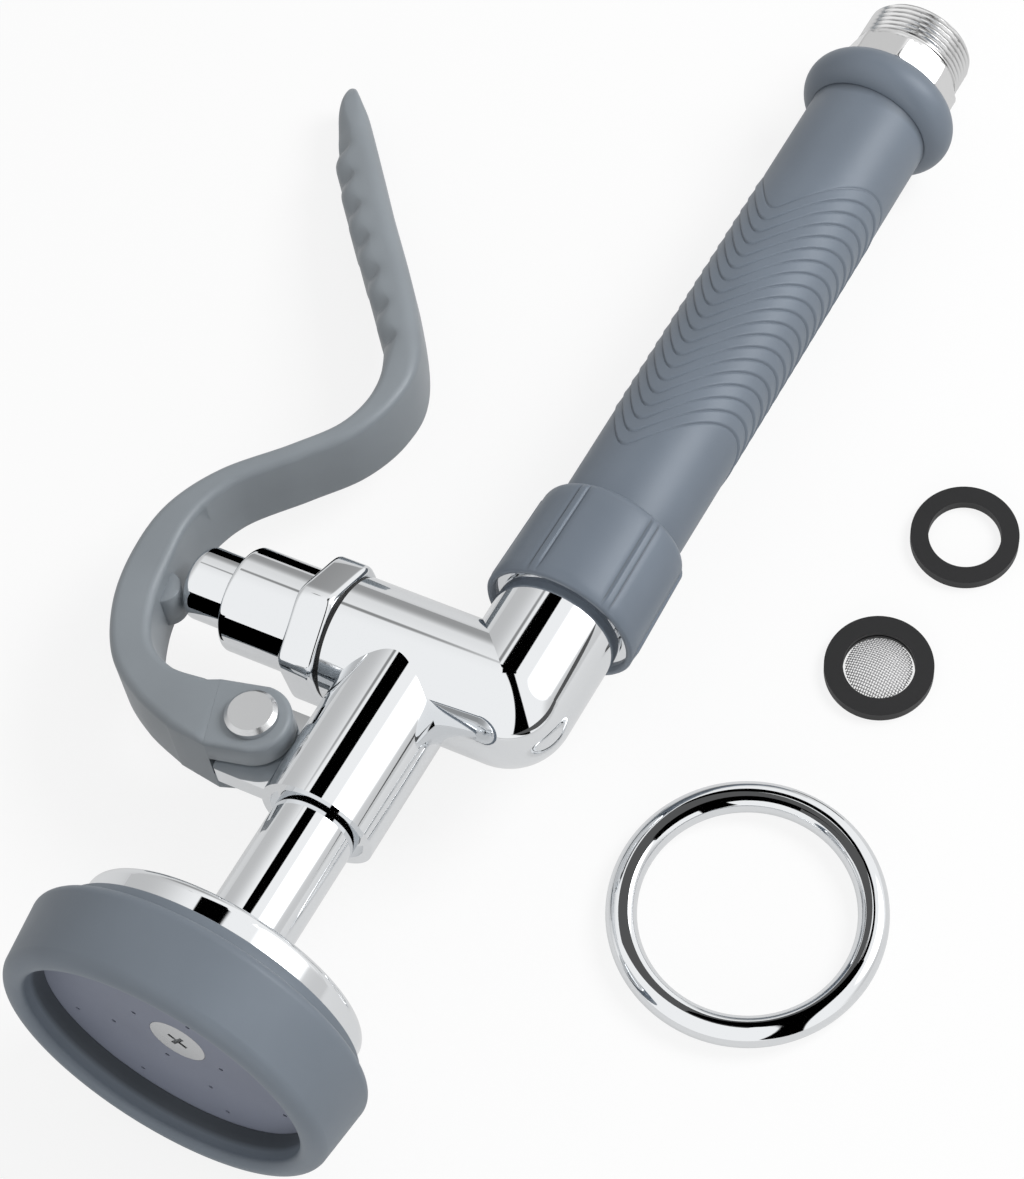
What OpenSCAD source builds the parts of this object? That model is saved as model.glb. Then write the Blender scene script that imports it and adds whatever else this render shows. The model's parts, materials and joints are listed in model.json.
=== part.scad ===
// Hand-held pre-rinse spray valve: spray head, valve with squeeze lever, grip,
// and the loose ring and washers that come with it.
// Every piece is drawn in the valve's own axes: +X from the spray face to the
// hose end, +Y towards the lever. lay_down() then rests the valve on its side,
// on the bumper, the grip's end ring and the lever's tip, with +Z up.

/* [Spray head] */
// Largest diameter of the rubber bumper, near its back
bumper_d = 84.6; // [82:0.2:88]
// Diameter of the bumper near its front
bumper_front_d = 81.6; // [79.6:0.2:84]
// Length of the bumper's thick wall behind the opening
bumper_len = 16.8; // [15.5:0.1:18.5]
// Distance from the opening to the rim's most forward place
rim_front = 2.5; // [2.2:0.1:3]
// Radius of the rim's rounded outside
bumper_round = 4; // [3.5:0.1:4.6]
// Radius of the bumper's rounded back edge
bumper_back_round = 2.4; // [1:0.1:3]
// Diameter of the bumper's open front
opening_d = 69.4; // [68.4:0.2:71]
// Inside diameter of the lip that holds the spray face
lip_d = 67.6; // [64:0.2:68.4]
// Outside diameter of the bumper's thin back lip
back_lip_d = 74.8; // [73:0.2:78]
// Length of the bumper's thin back lip
back_lip_len = 3.4; // [2:0.2:5]
// Depth of the spray face behind the bumper's front
face_depth = 5.8; // [4:0.2:7]
// Thickness of the spray face
face_t = 3.2; // [2.4:0.2:4]
// Diameter of one spray hole
jet_d = 1.1; // [0.8:0.1:1.6]
// Radius of the inner ring of spray holes
jet_inner_r = 11.3; // [10:0.1:13]
// Radius of the middle ring of spray holes
jet_middle_r = 18.3; // [16:0.1:21]
// Radius of the outer ring of spray holes
jet_outer_r = 28.6; // [25:0.1:30]
// Outside diameter of the metal cup
cup_d = 69.6; // [69:0.2:72]
// Thickness of the cup's wall
cup_wall = 2; // [1.5:0.1:3]
// Thickness of the cup's back
cup_back_t = 2.5; // [2:0.1:3.5]
// Length of the cup from its rim to its back
cup_len = 17.6; // [16:0.2:20]
// Radius of the cup's rounded back edge
cup_round = 2.6; // [1:0.1:3]
// Thickness of the gasket between face and cup
face_gasket_t = 0.8; // [0.5:0.1:1.5]
// Width of the gasket between face and cup
face_gasket_w = 3; // [2:0.2:4]
// Diameter of the face screw's head
face_screw_d = 13.8; // [11:0.2:15]
// Height of the face screw's countersunk head
face_screw_head_t = 2.6; // [2:0.1:3]
// Diameter of the face screw's shank
face_screw_shank_d = 4; // [3:0.5:5]
// Length of the face screw
face_screw_len = 11.5; // [9:0.5:14]

/* [Outlet tube] */
// Outside diameter of the outlet tube
tube_d = 20.5; // [19.5:0.1:21.5]
// Bore of the outlet tube
tube_bore_d = 17.2; // [14:0.2:17.6]
// Length of tube that shows between the cup and the valve
tube_show = 38.6; // [30:0.5:50]
// Depth of the tube in the cup's hub
hub_depth = 8; // [6:0.5:9]
// Wall of the cup's hub round the tube
hub_wall = 3; // [2.5:0.5:4]
// Depth of the tube in the valve's socket
socket_depth = 14; // [11:0.5:18]
// Diameter of the recess round the tube in the valve's socket
mouth_d = 24; // [22:0.1:25]
// Depth of that recess
mouth_depth = 1.6; // [1:0.1:3]
// Thickness of the tube's O-ring
tube_oring_t = 2.4; // [2:0.1:2.6]

/* [Valve body] */
// Diameter of the boss round the outlet tube
boss_d = 28.4; // [28:0.2:30]
// Distance from the boss's front to the middle of the valve's arm
boss_len = 46.3; // [44:0.5:50]
// Diameter of the arm that holds the valve works
arm_d = 30.6; // [30.2:0.2:33]
// Distance from the spray axis to the arm's open end
arm_top = 17.5; // [16.8:0.1:20]
// Distance from the spray axis to the handle's axis
handle_drop = 24.2; // [23:0.2:26]
// Bore of the elbow and neck
elbow_bore_d = 22.4; // [21:0.2:23]
// Distance from the arm's middle to the plain neck's end
neck_len = 24.2; // [20:0.2:28]
// Length of the neck's thread
neck_thread_len = 13.5; // [12:0.5:15]
// Diameter of the neck's thread
neck_thread_d = 30; // [28.5:0.1:30.2]
// Thickness of the lug that carries the lever
lug_t = 5.2; // [4:0.1:7]
// Radius of the lug round the pivot
lug_r = 8.8; // [8:0.1:9.1]
// Reach of the lug in front of the pivot
lug_front = 12.2; // [11:0.1:12.6]
// Rise of the lug's front corner above the pivot
lug_rise = 5.3; // [4:0.1:6]
// Radius of the lug's front corner
lug_corner = 1.2; // [0.8:0.1:2]

/* [Valve works] */
// Diameter of the bonnet's round part
bonnet_d = 25.7; // [24.6:0.1:27]
// Length of the bonnet's round part
bonnet_len = 19; // [16:0.2:22]
// Width of the bonnet's hexagon across its flats
bonnet_hex_w = 31.5; // [30:0.5:33]
// Thickness of the bonnet's hexagon
bonnet_hex_t = 9.2; // [8:0.2:11]
// Turn of the bonnet's hexagon about its axis
bonnet_turn = 24; // [0:1:59]
// Diameter of the bonnet's threaded end
bonnet_thread_d = 24.2; // [23.6:0.1:24.8]
// Bore of the bonnet's spring chamber
spring_chamber_d = 21.2; // [20.8:0.1:21.8]
// Thickness of the bonnet's gasket
bonnet_gasket_t = 1; // [0.5:0.1:1.2]
// Diameter of the push pin
pin_d = 17.8; // [16:0.1:18]
// Length of pin that shows at rest
pin_show = 13; // [12.4:0.2:16]
// Radius of the push pin's rounded end
pin_round = 2.4; // [1:0.1:3]
// Diameter of the push pin's collar
pin_collar_d = 20.4; // [19.6:0.1:20.5]
// Thickness of the push pin's collar
pin_collar_t = 2; // [1.5:0.1:2.5]
// Depth of the stem in the push pin
stem_depth = 6; // [4:0.5:9]
// Diameter of the valve stem
stem_d = 5.8; // [5:0.1:6.2]
// Level of the shoulder that carries the stem guide
guide_y = 8.7; // [8.7:0.1:9.5]
// Thickness of the stem guide
guide_t = 3.4; // [3:0.1:4]
// Thickness of the stem's O-ring
stem_oring_t = 2.2; // [1.6:0.1:2.4]
// Diameter of the spring's seat washer
spring_washer_d = 17; // [15:0.2:19]
// Thickness of the spring's seat washer
spring_washer_t = 0.8; // [0.6:0.1:1.2]
// Diameter of the spring over its turns
spring_d = 15; // [12:0.5:16]
// Diameter of the spring's wire
spring_wire_d = 1.4; // [1:0.1:1.6]
// Number of turns in the spring
spring_turns = 5; // [4:1:6]
// Bore of the chamber that the outlet leads from
chamber_d = 18; // [17.8:0.1:19]
// Thickness of the valve seat
seat_t = 3; // [2:0.2:3.4]
// Bore of the valve seat
seat_bore_d = 10.4; // [8:0.2:11]
// Wall between the seat and the elbow's bore
port_wall = 0.5; // [0.4:0.1:1]
// Bore of the port below the seat
port_d = 14.8; // [14:0.2:16]
// Diameter of the poppet
poppet_d = 13.4; // [12:0.2:13.6]
// Thickness of the poppet
poppet_t = 2.8; // [2:0.2:3.4]
// Thickness of the poppet's rubber washer
poppet_washer_t = 1.6; // [1:0.1:2]
// Width of the stem nut across its flats
stem_nut_w = 7; // [6.5:0.5:8]
// Thickness of the stem nut
stem_nut_t = 2.4; // [2:0.2:3]

/* [Lever] */
// Width of the lever
lever_w = 19.6; // [17:0.2:20]
// Distance from the arm's middle back to the pivot
pivot_back = 32.3; // [31.5:0.1:33]
// Height of the pivot above the spray axis
pivot_y = 23.3; // [23.1:0.1:24.5]
// Radius of the lever's eyes round the pivot
eye_r = 9; // [8:0.1:9.1]
// Reach of the lever from the pivot to its tip
lever_reach = 178.6; // [172:0.5:190]
// Rise of the lever from the pivot to its tip
lever_rise = 79.6; // [76:0.2:84]
// Reach from the pivot to the low place of the lever
dip_reach = 92; // [89:0.5:95]
// Rise from the pivot to the low place of the lever
dip_rise = 18.4; // [17:0.2:22]
// Thickness of the lever's finger part
finger_t = 11.6; // [10:0.2:13]
// Thickness of the lever over the push pin
crest_t = 11; // [9:0.2:12]
// Thickness of the lever's slim neck
slim_t = 5.2; // [4.5:0.1:6.5]
// Gap between the lever and the push pin's end, beside the nub
crest_gap = 4.3; // [4:0.1:5.5]
// Width of the lever at its tip
tip_w = 13; // [10:0.5:15]
// Length over which the lever narrows to its tip
taper_len = 40; // [30:1:60]
// Height of the finger grips
scallop_h = 1; // [0.6:0.1:1.6]
// Distance from one finger grip to the next
scallop_pitch = 8.3; // [7.5:0.1:8.6]
// Number of finger grips
scallop_count = 6; // [4:1:6]
// Diameter of the nub that presses the pin
nub_d = 9; // [7:0.2:10]
// Length of the nub across the lever
nub_w = 10; // [8:0.5:12]
// Distance from the pivot to the nub, along the spray axis
nub_reach = 24.8; // [24:0.1:26]
// Diameter of the pivot screw's shank
pivot_d = 6; // [5:0.5:7]
// Diameter of the pivot screw's head
pivot_head_d = 12.4; // [11:0.2:13]
// Thickness of the pivot screw's head
pivot_head_t = 2.5; // [2:0.1:3]
// Width of the head's sloping edge
pivot_chamfer = 1; // [0.4:0.1:1.2]

/* [Handle] */
// Distance from the neck's end to the back of the handle tube
handle_len = 159; // [140:1:190]
// Outside diameter of the handle tube
handle_tube_d = 24.8; // [24:0.2:25.6]
// Bore of the handle tube
handle_bore_d = 20; // [18:0.2:20.4]
// Diameter of the handle tube's flange
flange_d = 29.4; // [28.6:0.2:29.6]
// Thickness of the handle tube's flange
flange_t = 2.5; // [2:0.1:3]
// Thickness of the coupling washer
coupling_washer_t = 2; // [1.5:0.1:3]
// Outside diameter of the coupling nut
nut_d = 34.6; // [34.2:0.1:35.6]
// Lap of the coupling nut over the neck's thread
nut_lap = 13; // [11:0.5:13.3]
// Thickness of the coupling nut's inner lip
nut_lip_t = 3.2; // [2.5:0.1:4]
// Length of the collar over the coupling nut
collar_len = 28; // [26:0.5:34]
// Length of the collar in front of the coupling nut
collar_front = 1.4; // [0.5:0.1:1.4]
// Diameter of the collar at the valve's side
collar_front_d = 38; // [37.4:0.2:41]
// Diameter of the collar at the grip's side
collar_back_d = 36.6; // [36:0.2:38]
// Radius of the collar's rounded back edge
collar_round = 2.4; // [1:0.1:2.4]
// Number of ribs on the collar
collar_ribs = 6; // [4:1:8]
// Width of a rib on the collar
rib_w = 2.2; // [1.5:0.1:3]
// Height of a rib on the collar
rib_h = 0.7; // [0.4:0.1:1]
// Outside diameter of the grip
grip_d = 31; // [29.5:0.1:31.4]
// Largest diameter of the grip's end ring
ring_d = 39.6; // [37:0.2:41]
// Radius of the end ring's round section
ring_round = 6.2; // [5.5:0.1:6.6]
// Width of the hose end's octagon across its flats
hose_flats_w = 28.4; // [28:0.2:29]
// Length of the hose end's octagon
hose_flats_len = 7.4; // [6:0.2:12]
// Turn of the hose end's octagon about its axis
hose_flats_turn = 12; // [0:1:44]
// Diameter of the hose thread, a fine parallel thread of 28 mm
hose_thread_d = 28; // [27:0.1:28]
// Length of the hose thread
hose_thread_len = 11.2; // [8:0.2:14]
// Bore of the hose end
hose_bore_d = 17; // [14:0.5:17]
// Depth of the hose end in the handle tube
hose_spigot_len = 18; // [12:1:24]

/* [Loose parts] */
// Outside diameter of the hold-down ring
hold_ring_d = 65; // [60:0.5:70]
// Thickness of the hold-down ring's wire
hold_wire_d = 7.3; // [6:0.1:8]
// Place of the hold-down ring from the bumper's middle, along X and Y
hold_ring_at = [102.7, -88.8];
// Outside diameter of both hose washers
washer_d = 26; // [25:0.2:27]
// Bore of the plain hose washer
washer_bore_d = 17.4; // [15:0.2:19]
// Thickness of both hose washers
washer_t = 2.8; // [2:0.1:3.5]
// Place of the plain hose washer from the bumper's middle
washer_at = [213.3, -90.9];
// Place of the washer with the filter from the bumper's middle
filter_at = [172.9, -87.9];
// Bore of the washer that holds the filter
filter_bore_d = 17; // [15:0.2:18]
// Height of the filter's dome
filter_dome_h = 3.2; // [2.6:0.2:4]
// Thickness of the filter's mesh
filter_mesh_t = 0.5; // [0.4:0.1:0.8]

/* [Fits] */
// Gap between a turning or sliding piece and its hole, on the radius
run_fit = 0.05; // [0.03:0.01:0.08]
// Gap between pieces that are fixed together, on the radius
fixed_fit = 0.1; // [0.05:0.01:0.2]
// Gap between the bumper and the cup, on the radius
bumper_fit = 0.3; // [0.2:0.05:0.5]
// Gap between a moving piece and what it passes
move_gap = 0.4; // [0.3:0.05:0.6]
// Gap left where a moving face rests against another
rest_gap = 0.05; // [0.03:0.01:0.1]

/* [Hidden] */

$fn = 96;
// Length by which a cut runs past the face that it opens
over = 1;

// Spray head, along X
cup_rim_x = face_depth + face_t + face_gasket_t;
cup_back_x = cup_rim_x + cup_len;
bumper_bore_r = cup_d / 2 + bumper_fit;
rim_mid = [bumper_front_d / 2 - bumper_round, bumper_round - rim_front];
rim_inner_r = rim_mid.x - opening_d / 2;
back_mid = [bumper_d / 2 - bumper_back_round, bumper_len - bumper_back_round];
// Direction in which one straight line touches both rounded edges
bumper_side = let (v = back_mid - rim_mid, c = (bumper_round - bumper_back_round) / norm(v) / norm(v),
    s = sqrt(1 / (v * v) - c * c)) [v.x * c + v.y * s, v.y * c - v.x * s];
face_r = cup_d / 2 - fixed_fit;
hub_x = cup_back_x - hub_depth;
hub_r = tube_d / 2 + hub_wall;
post_x = face_depth + face_t;
post_r = face_screw_shank_d / 2 + 2.2;
spoke_w = 3.4;
inner_jets = 4;
outer_jets = 8;
// Turn of each ring of spray holes about the spray axis
inner_turn = 27;
middle_turn = 76;
outer_turn = 32;

// Valve body, along X and Y
boss_x = cup_back_x + tube_show;
arm_x = boss_x + boss_len;
handle_y = -handle_drop;
neck_x = arm_x + neck_len;
neck_end_x = neck_x + neck_thread_len;
elbow_bore_r = elbow_bore_d / 2;
socket_end_x = boss_x + socket_depth;
oring_groove_r = tube_d / 2 + run_fit + tube_oring_t;
oring_x = boss_x + socket_depth / 2;
pivot_x = arm_x - pivot_back;

// Valve works, along Y
hex_y = arm_top + bonnet_gasket_t;
bonnet_y = hex_y + bonnet_hex_t;
bonnet_end_y = bonnet_y + bonnet_len;
pin_end_y = bonnet_end_y + pin_show;
collar_y = bonnet_y + 2;
spring_top_y = collar_y - pin_collar_t;
guide_top_y = guide_y + guide_t;
spring_foot_y = guide_top_y + spring_washer_t;
chamber_y = handle_y + elbow_bore_r + port_wall;
poppet_top_y = chamber_y - rest_gap - poppet_washer_t;
poppet_end_y = poppet_top_y - poppet_t;
stem_end_y = poppet_end_y - stem_nut_t - 1;

// Handle, along X
nut_x = neck_end_x - nut_lap;
washer_x = neck_end_x + rest_gap;
flange_x = washer_x + coupling_washer_t;
nut_lip_x = flange_x + flange_t + rest_gap;
nut_end_x = nut_lip_x + nut_lip_t;
collar_x = nut_x - collar_front;
collar_end_x = collar_x + collar_len;
handle_end_x = neck_end_x + handle_len;
ring_mid_x = handle_end_x - ring_round;
ring_mid_r = ring_d / 2 - ring_round;
grip_x = nut_end_x + move_gap;
grip_end_x = ring_mid_x - sqrt(pow(ring_round, 2) - pow(grip_d / 2 - ring_mid_r, 2));
hose_thread_x = handle_end_x + hose_flats_len;
hose_end_x = hose_thread_x + hose_thread_len;

// Lever: middle line and thickness, as [x, y, thickness] from the pivot
crest_reach = arm_x - pivot_x - 2.3;
crest_rise = pin_end_y + crest_gap + crest_t / 2 - pivot_y;
lever_spine = [
    [0, -0.5, 2 * eye_r - 0.4],
    [-1.8, 8, 17.6],
    [-2.1, 16.4, 15],
    [-0.4, crest_rise - 19.5, 11],
    [crest_reach - 24.5, crest_rise - 9.7, 9.8],
    [crest_reach - 13, crest_rise - 3, 10.6],
    [crest_reach, crest_rise, crest_t],
    [crest_reach + 13, crest_rise + 0.3, 8.6],
    [crest_reach + 26, crest_rise - 4.7, 6],
    [dip_reach - 23, dip_rise + 11.8, slim_t],
    [dip_reach - 12, dip_rise + 3.2, 5.6],
    [dip_reach, dip_rise, 7.2],
    [dip_reach + 12, dip_rise + 2.6, 9.4],
    [dip_reach + 28, dip_rise + 14.6, 11],
    [lever_reach - 38.6, lever_rise - 28.7, finger_t],
    [lever_reach - 22.7, lever_rise - 15.4, 11.2],
    [lever_reach - 12.1, lever_rise - 8.6, 7.6],
    [lever_reach - 3.2, lever_rise - 2.4, 2.8]
];
spine_steps = 7;
// Where the row of finger grips starts, from the lever's low place
scallop_start = dip_reach + 17.3;
// The slot clears the lug's round end, and opens in front of it and below
slot_r = lug_r + move_gap;
slot_top = lug_rise + move_gap;
slot_front = 20;
slot_w = lug_t + 2 * move_gap;
nub_y = pin_end_y + rest_gap + nub_d / 2 - pivot_y + 0.2;
// Height from the pivot, and depth, of the block that the lever's plan is cut from
plan_top = lever_rise + 20;
plan_depth = plan_top + 2 * eye_r;

// A curve through b and c, with a and d as its neighbours
function curve(a, b, c, d, t) = (
    2 * b + (c - a) * t + (2 * a - 5 * b + 4 * c - d) * t * t
    + (3 * b - a - 3 * c + d) * t * t * t) / 2;
function pick(list, i) = list[max(0, min(len(list) - 1, i))];
spine = [
    for (i = [0:len(lever_spine) - 2], k = [0:spine_steps - 1])
        curve(pick(lever_spine, i - 1), lever_spine[i], lever_spine[i + 1],
            pick(lever_spine, i + 2), k / spine_steps),
    lever_spine[len(lever_spine) - 1]
];
function flat(p) = [p.x, p.y];
function unit(v) = v / norm(v);
function side(i) =
    let (d = unit(flat(pick(spine, i + 1)) - flat(pick(spine, i - 1)))) [-d.y, d.x];
function scallop(x) =
    let (s = (x - scallop_start) / scallop_pitch)
    s < 0 || s > scallop_count ? 0 : scallop_h * (1 - abs(sin(180 * s)));
function outer_edge(i) = flat(spine[i]) + side(i) * (spine[i].z / 2 - scallop(spine[i].x));
function inner_edge(i) = flat(spine[i]) - side(i) * spine[i].z / 2;
lever_outline = concat(
    [for (i = [0:len(spine) - 1]) outer_edge(i)],
    [for (i = [len(spine) - 1:-1:0]) inner_edge(i)]);

// Half of the lever's width at a reach from the pivot
function half_width(x) =
    let (start = lever_reach - taper_len, end = lever_reach - tip_w / 2)
    x < start ? lever_w / 2
    : x < end ? lever_w / 2 + (tip_w - lever_w) / 2 * (x - start) / (end - start)
    : sqrt(max(0, pow(tip_w / 2, 2) - pow(x - end, 2)));

// How the valve lies: the surface touches the bumper, the end ring and the
// lever. n is the surface's upward normal in the valve's axes.
function below(mid_x, mid_y, ring_r, round_r, n) =
    [mid_x, mid_y, 0] + ring_r * unit([0, -n.y, -n.z]) - round_r * n;
tip_round = 1.4;
lever_rim = concat(lever_outline, [for (a = [0:15:345])
    flat(spine[len(spine) - 1]) + tip_round * [cos(a), sin(a)]]);
function lever_point(p, up_or_down) =
    [pivot_x + p.x, pivot_y + p.y, up_or_down * half_width(p.x)];
function lowest(points, n, best, i = 0) =
    i == len(points) ? best
    : lowest(points, n, points[i] * n < best * n ? points[i] : best, i + 1);
lever_points = [for (p = lever_rim, face = [-1, 1]) lever_point(p, face)];
function bumper_touch(n) = below(back_mid.y, 0, back_mid.x, bumper_back_round, n);
function ring_touch(n) = below(ring_mid_x, handle_y, ring_mid_r, ring_round, n);
function lever_touch(n) = lowest(lever_points, n, lever_points[0]);
function settle(n, turns) = turns == 0 ? n : settle(unit(cross(
    ring_touch(n) - bumper_touch(n), lever_touch(n) - bumper_touch(n))), turns - 1);
up = settle([0, 0, 1], 12);
lay_roll = atan2(up.y, up.z);
lay_pitch = -atan2(up.x, norm([up.y, up.z]));
table_z = bumper_touch(up) * up;

// The model's origin: the middle of its floor area
row_x = [cos(lay_pitch), sin(lay_roll) * sin(lay_pitch), cos(lay_roll) * sin(lay_pitch)];
row_y = [0, cos(lay_roll), -sin(lay_roll)];
function ring_reach(mid_x, mid_y, ring_r, round_r, v) =
    [mid_x, mid_y, 0] * v + ring_r * norm([v.y, v.z]) + round_r;
front_x = -ring_reach(rim_mid.y, 0, rim_mid.x, bumper_round, -row_x);
back_x = ring_reach(hose_end_x, handle_y, hose_thread_d / 2, 0, row_x);
side_y = lever_touch(-row_y) * row_y;
frame_at = [
    (front_x + back_x) / 2,
    (side_y + hold_ring_at.y - hold_ring_d / 2) / 2,
    table_z
];

module lay_down() translate(-frame_at) rotate([lay_roll, lay_pitch, 0]) children();

module on_table(at) translate([at.x - frame_at.x, at.y - frame_at.y, 0]) children();

// A shape turned about the X axis, drawn as [radius, x]
module turned() rotate([0, 90, 0]) rotate_extrude() children();

module turned_handle() translate([0, handle_y, 0]) turned() children();

// A shape turned about the arm's axis, drawn as [radius, y]
module turned_arm() translate([arm_x, 0, 0]) rotate([-90, 0, 0]) rotate_extrude() children();

module rod(r, from, to) rotate([0, 90, 0]) translate([0, 0, from]) cylinder(r = r, h = to - from);

module handle_rod(r, from, to) translate([0, handle_y, 0]) rod(r, from, to);

module arm_rod(r, from, to)
    translate([arm_x, from, 0]) rotate([-90, 0, 0]) cylinder(r = r, h = to - from);

// A flat ring as a profile
module ring_section(inner_r, outer_r, from, to)
    translate([inner_r, from]) square([outer_r - inner_r, to - from]);

// A round rod's profile with a rounded far edge
module rounded_section(r, from, to, round_r) {
    translate([0, from]) square([r, to - from - round_r]);
    translate([0, from]) square([r - round_r, to - from]);
    intersection() {
        translate([r - round_r, to - round_r]) circle(r = round_r);
        translate([0, from]) square([r, to - from]);
    }
}

module o_ring_section(inner_r, thick, at)
    translate([inner_r + thick / 2, at]) circle(d = thick, $fn = 32);

module hexagon(width) circle(d = width / cos(30), $fn = 6);

module spray_bumper() color([0.44, 0.48, 0.51]) turned() difference() {
    union() {
        translate(rim_mid) intersection() {
            circle(r = bumper_round);
            translate([0, -bumper_round]) square([bumper_round, 2 * bumper_round]);
        }
        intersection() {
            translate([rim_mid.x, rim_inner_r - rim_front]) circle(r = rim_inner_r);
            translate([0, -rim_front]) square([rim_mid.x, rim_inner_r]);
        }
        intersection() {
            translate(back_mid) circle(r = bumper_back_round);
            translate([0, back_mid.y]) square([bumper_d, bumper_back_round]);
        }
        polygon([[opening_d / 2, rim_inner_r - rim_front], [rim_mid.x, rim_inner_r - rim_front],
            [rim_mid.x, -rim_front], rim_mid, rim_mid + bumper_round * bumper_side,
            back_mid + bumper_back_round * bumper_side, back_mid, [back_mid.x, bumper_len],
            [lip_d / 2, bumper_len], [lip_d / 2, face_depth]]);
        ring_section(lip_d / 2, back_lip_d / 2, face_depth, bumper_len + back_lip_len);
    }
    ring_section(lip_d / 2 - over, bumper_bore_r, face_depth, bumper_len + back_lip_len + over);
}

module jet_ring(count, r, turn) for (k = [0:count - 1])
    rotate([360 * k / count + turn, 0, 0]) translate([face_depth - over, r, 0])
        rotate([0, 90, 0]) cylinder(d = jet_d, h = face_t + 2 * over, $fn = 16);

module spray_face() color([0.5, 0.51, 0.57]) difference() {
    turned() difference() {
        ring_section(0, face_r, face_depth + fixed_fit, post_x);
        polygon([[0, face_depth], [face_screw_d / 2 + fixed_fit, face_depth],
            [face_screw_d / 2 + fixed_fit, face_depth + 0.5],
            [face_screw_shank_d / 2 + fixed_fit, face_depth + face_screw_head_t + 0.3],
            [face_screw_shank_d / 2 + fixed_fit, post_x + over], [0, post_x + over]]);
    }
    jet_ring(inner_jets, jet_inner_r, inner_turn);
    jet_ring(inner_jets, jet_middle_r, middle_turn);
    jet_ring(outer_jets, jet_outer_r, outer_turn);
}

module face_screw() color([0.7, 0.7, 0.7]) difference() {
    turned() polygon([[0, face_depth + 0.1], [face_screw_d / 2, face_depth + 0.1],
        [face_screw_d / 2, face_depth + 0.4],
        [face_screw_shank_d / 2, face_depth + face_screw_head_t],
        [face_screw_shank_d / 2, face_depth + face_screw_len], [0, face_depth + face_screw_len]]);
    for (turn = [0, 90]) rotate([turn + 40, 0, 0])
        translate([face_depth - over, -2.6, -0.55]) cube([over + 1.5, 5.2, 1.1]);
}

module face_gasket() color([0.1, 0.1, 0.1]) turned()
    ring_section(face_r - face_gasket_w, face_r, post_x, cup_rim_x);

module spray_cup() color([0.85, 0.86, 0.87]) difference() {
    union() {
        turned() difference() {
            rounded_section(cup_d / 2, cup_rim_x, cup_back_x, cup_round);
            ring_section(0, cup_d / 2 - cup_wall, cup_rim_x - over, cup_back_x - cup_back_t);
        }
        rod(hub_r, hub_x - 3, cup_back_x - cup_back_t);
        rod(post_r, post_x + fixed_fit, hub_x);
    }
    rod(tube_d / 2 + fixed_fit, hub_x, cup_back_x + over);
    difference() {
        rod(tube_bore_d / 2, hub_x - 3 - over, hub_x + over);
        rod(post_r, hub_x - 3 - 2 * over, hub_x + 2 * over);
        for (turn = [0, 120, 240]) rotate([turn, 0, 0])
            translate([hub_x - 3 - 2 * over, 0, -spoke_w / 2])
                cube([3 + 4 * over, hub_r, spoke_w]);
    }
    rod(face_screw_shank_d / 2 + fixed_fit, post_x - over, hub_x + over);
}

module outlet_tube() color([0.87, 0.88, 0.89]) turned()
    ring_section(tube_bore_d / 2, tube_d / 2, hub_x + fixed_fit, socket_end_x - fixed_fit);

module tube_o_ring() color([0.1, 0.1, 0.1]) turned()
    o_ring_section(tube_d / 2 + rest_gap, tube_oring_t - 2 * rest_gap, oring_x);

module lug() translate([pivot_x, pivot_y, -lug_t / 2]) linear_extrude(lug_t) {
    circle(r = lug_r);
    translate([-lug_front, -pivot_y]) square([lug_front + lug_r, pivot_y]);
    translate([-lug_front, -over]) square([lug_front, over + lug_rise - lug_corner]);
    translate([lug_corner - lug_front, 0]) square([lug_front - lug_corner, lug_rise]);
    translate([lug_corner - lug_front, lug_rise - lug_corner]) circle(r = lug_corner);
}

module valve_body() color([0.86, 0.87, 0.88]) difference() {
    union() {
        rod(boss_d / 2, boss_x, arm_x);
        arm_rod(arm_d / 2, handle_y, arm_top);
        translate([arm_x, handle_y, 0]) sphere(d = arm_d);
        handle_rod(arm_d / 2, arm_x, neck_x);
        handle_rod(neck_thread_d / 2, neck_x - over, neck_end_x);
        lug();
    }
    rod(tube_d / 2 + fixed_fit, boss_x - over, socket_end_x);
    rod(mouth_d / 2, boss_x - over, boss_x + mouth_depth);
    rod(tube_bore_d / 2, boss_x, arm_x);
    turned() ring_section(0, oring_groove_r, oring_x - tube_oring_t / 2 - fixed_fit,
        oring_x + tube_oring_t / 2 + fixed_fit);
    arm_rod(bonnet_thread_d / 2 + fixed_fit, guide_y, arm_top + over);
    arm_rod(chamber_d / 2, chamber_y, guide_y + over);
    arm_rod(port_d / 2, handle_y, chamber_y + over);
    translate([arm_x, handle_y, 0]) sphere(r = elbow_bore_r);
    handle_rod(elbow_bore_r, arm_x, neck_end_x + over);
    translate([pivot_x, pivot_y, -lug_t]) cylinder(d = pivot_d + 2 * fixed_fit, h = 2 * lug_t);
}

module bonnet() color([0.86, 0.87, 0.88]) difference() {
    union() {
        intersection() {
            translate([arm_x, hex_y, 0]) rotate([-90, 0, 0]) rotate([0, 0, bonnet_turn])
                linear_extrude(bonnet_hex_t) hexagon(bonnet_hex_w);
            turned_arm() polygon([[0, hex_y], [bonnet_hex_w / 2 + 0.4, hex_y],
                [bonnet_hex_w / 2 + 2.4, hex_y + 1.1], [bonnet_hex_w / 2 + 2.4, bonnet_y - 1.1],
                [bonnet_hex_w / 2 + 0.4, bonnet_y], [0, bonnet_y]]);
        }
        turned_arm() rounded_section(bonnet_d / 2, bonnet_y - over, bonnet_end_y, 1.2);
        arm_rod(bonnet_thread_d / 2, guide_top_y + rest_gap, hex_y + over);
    }
    arm_rod(pin_d / 2 + run_fit, collar_y, bonnet_end_y + over);
    arm_rod(spring_chamber_d / 2, guide_y, collar_y + rest_gap);
}

module bonnet_gasket() color([0.6, 0.35, 0.2]) turned_arm()
    ring_section(bonnet_thread_d / 2 + fixed_fit, arm_d / 2 - 0.3, arm_top, hex_y);

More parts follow.
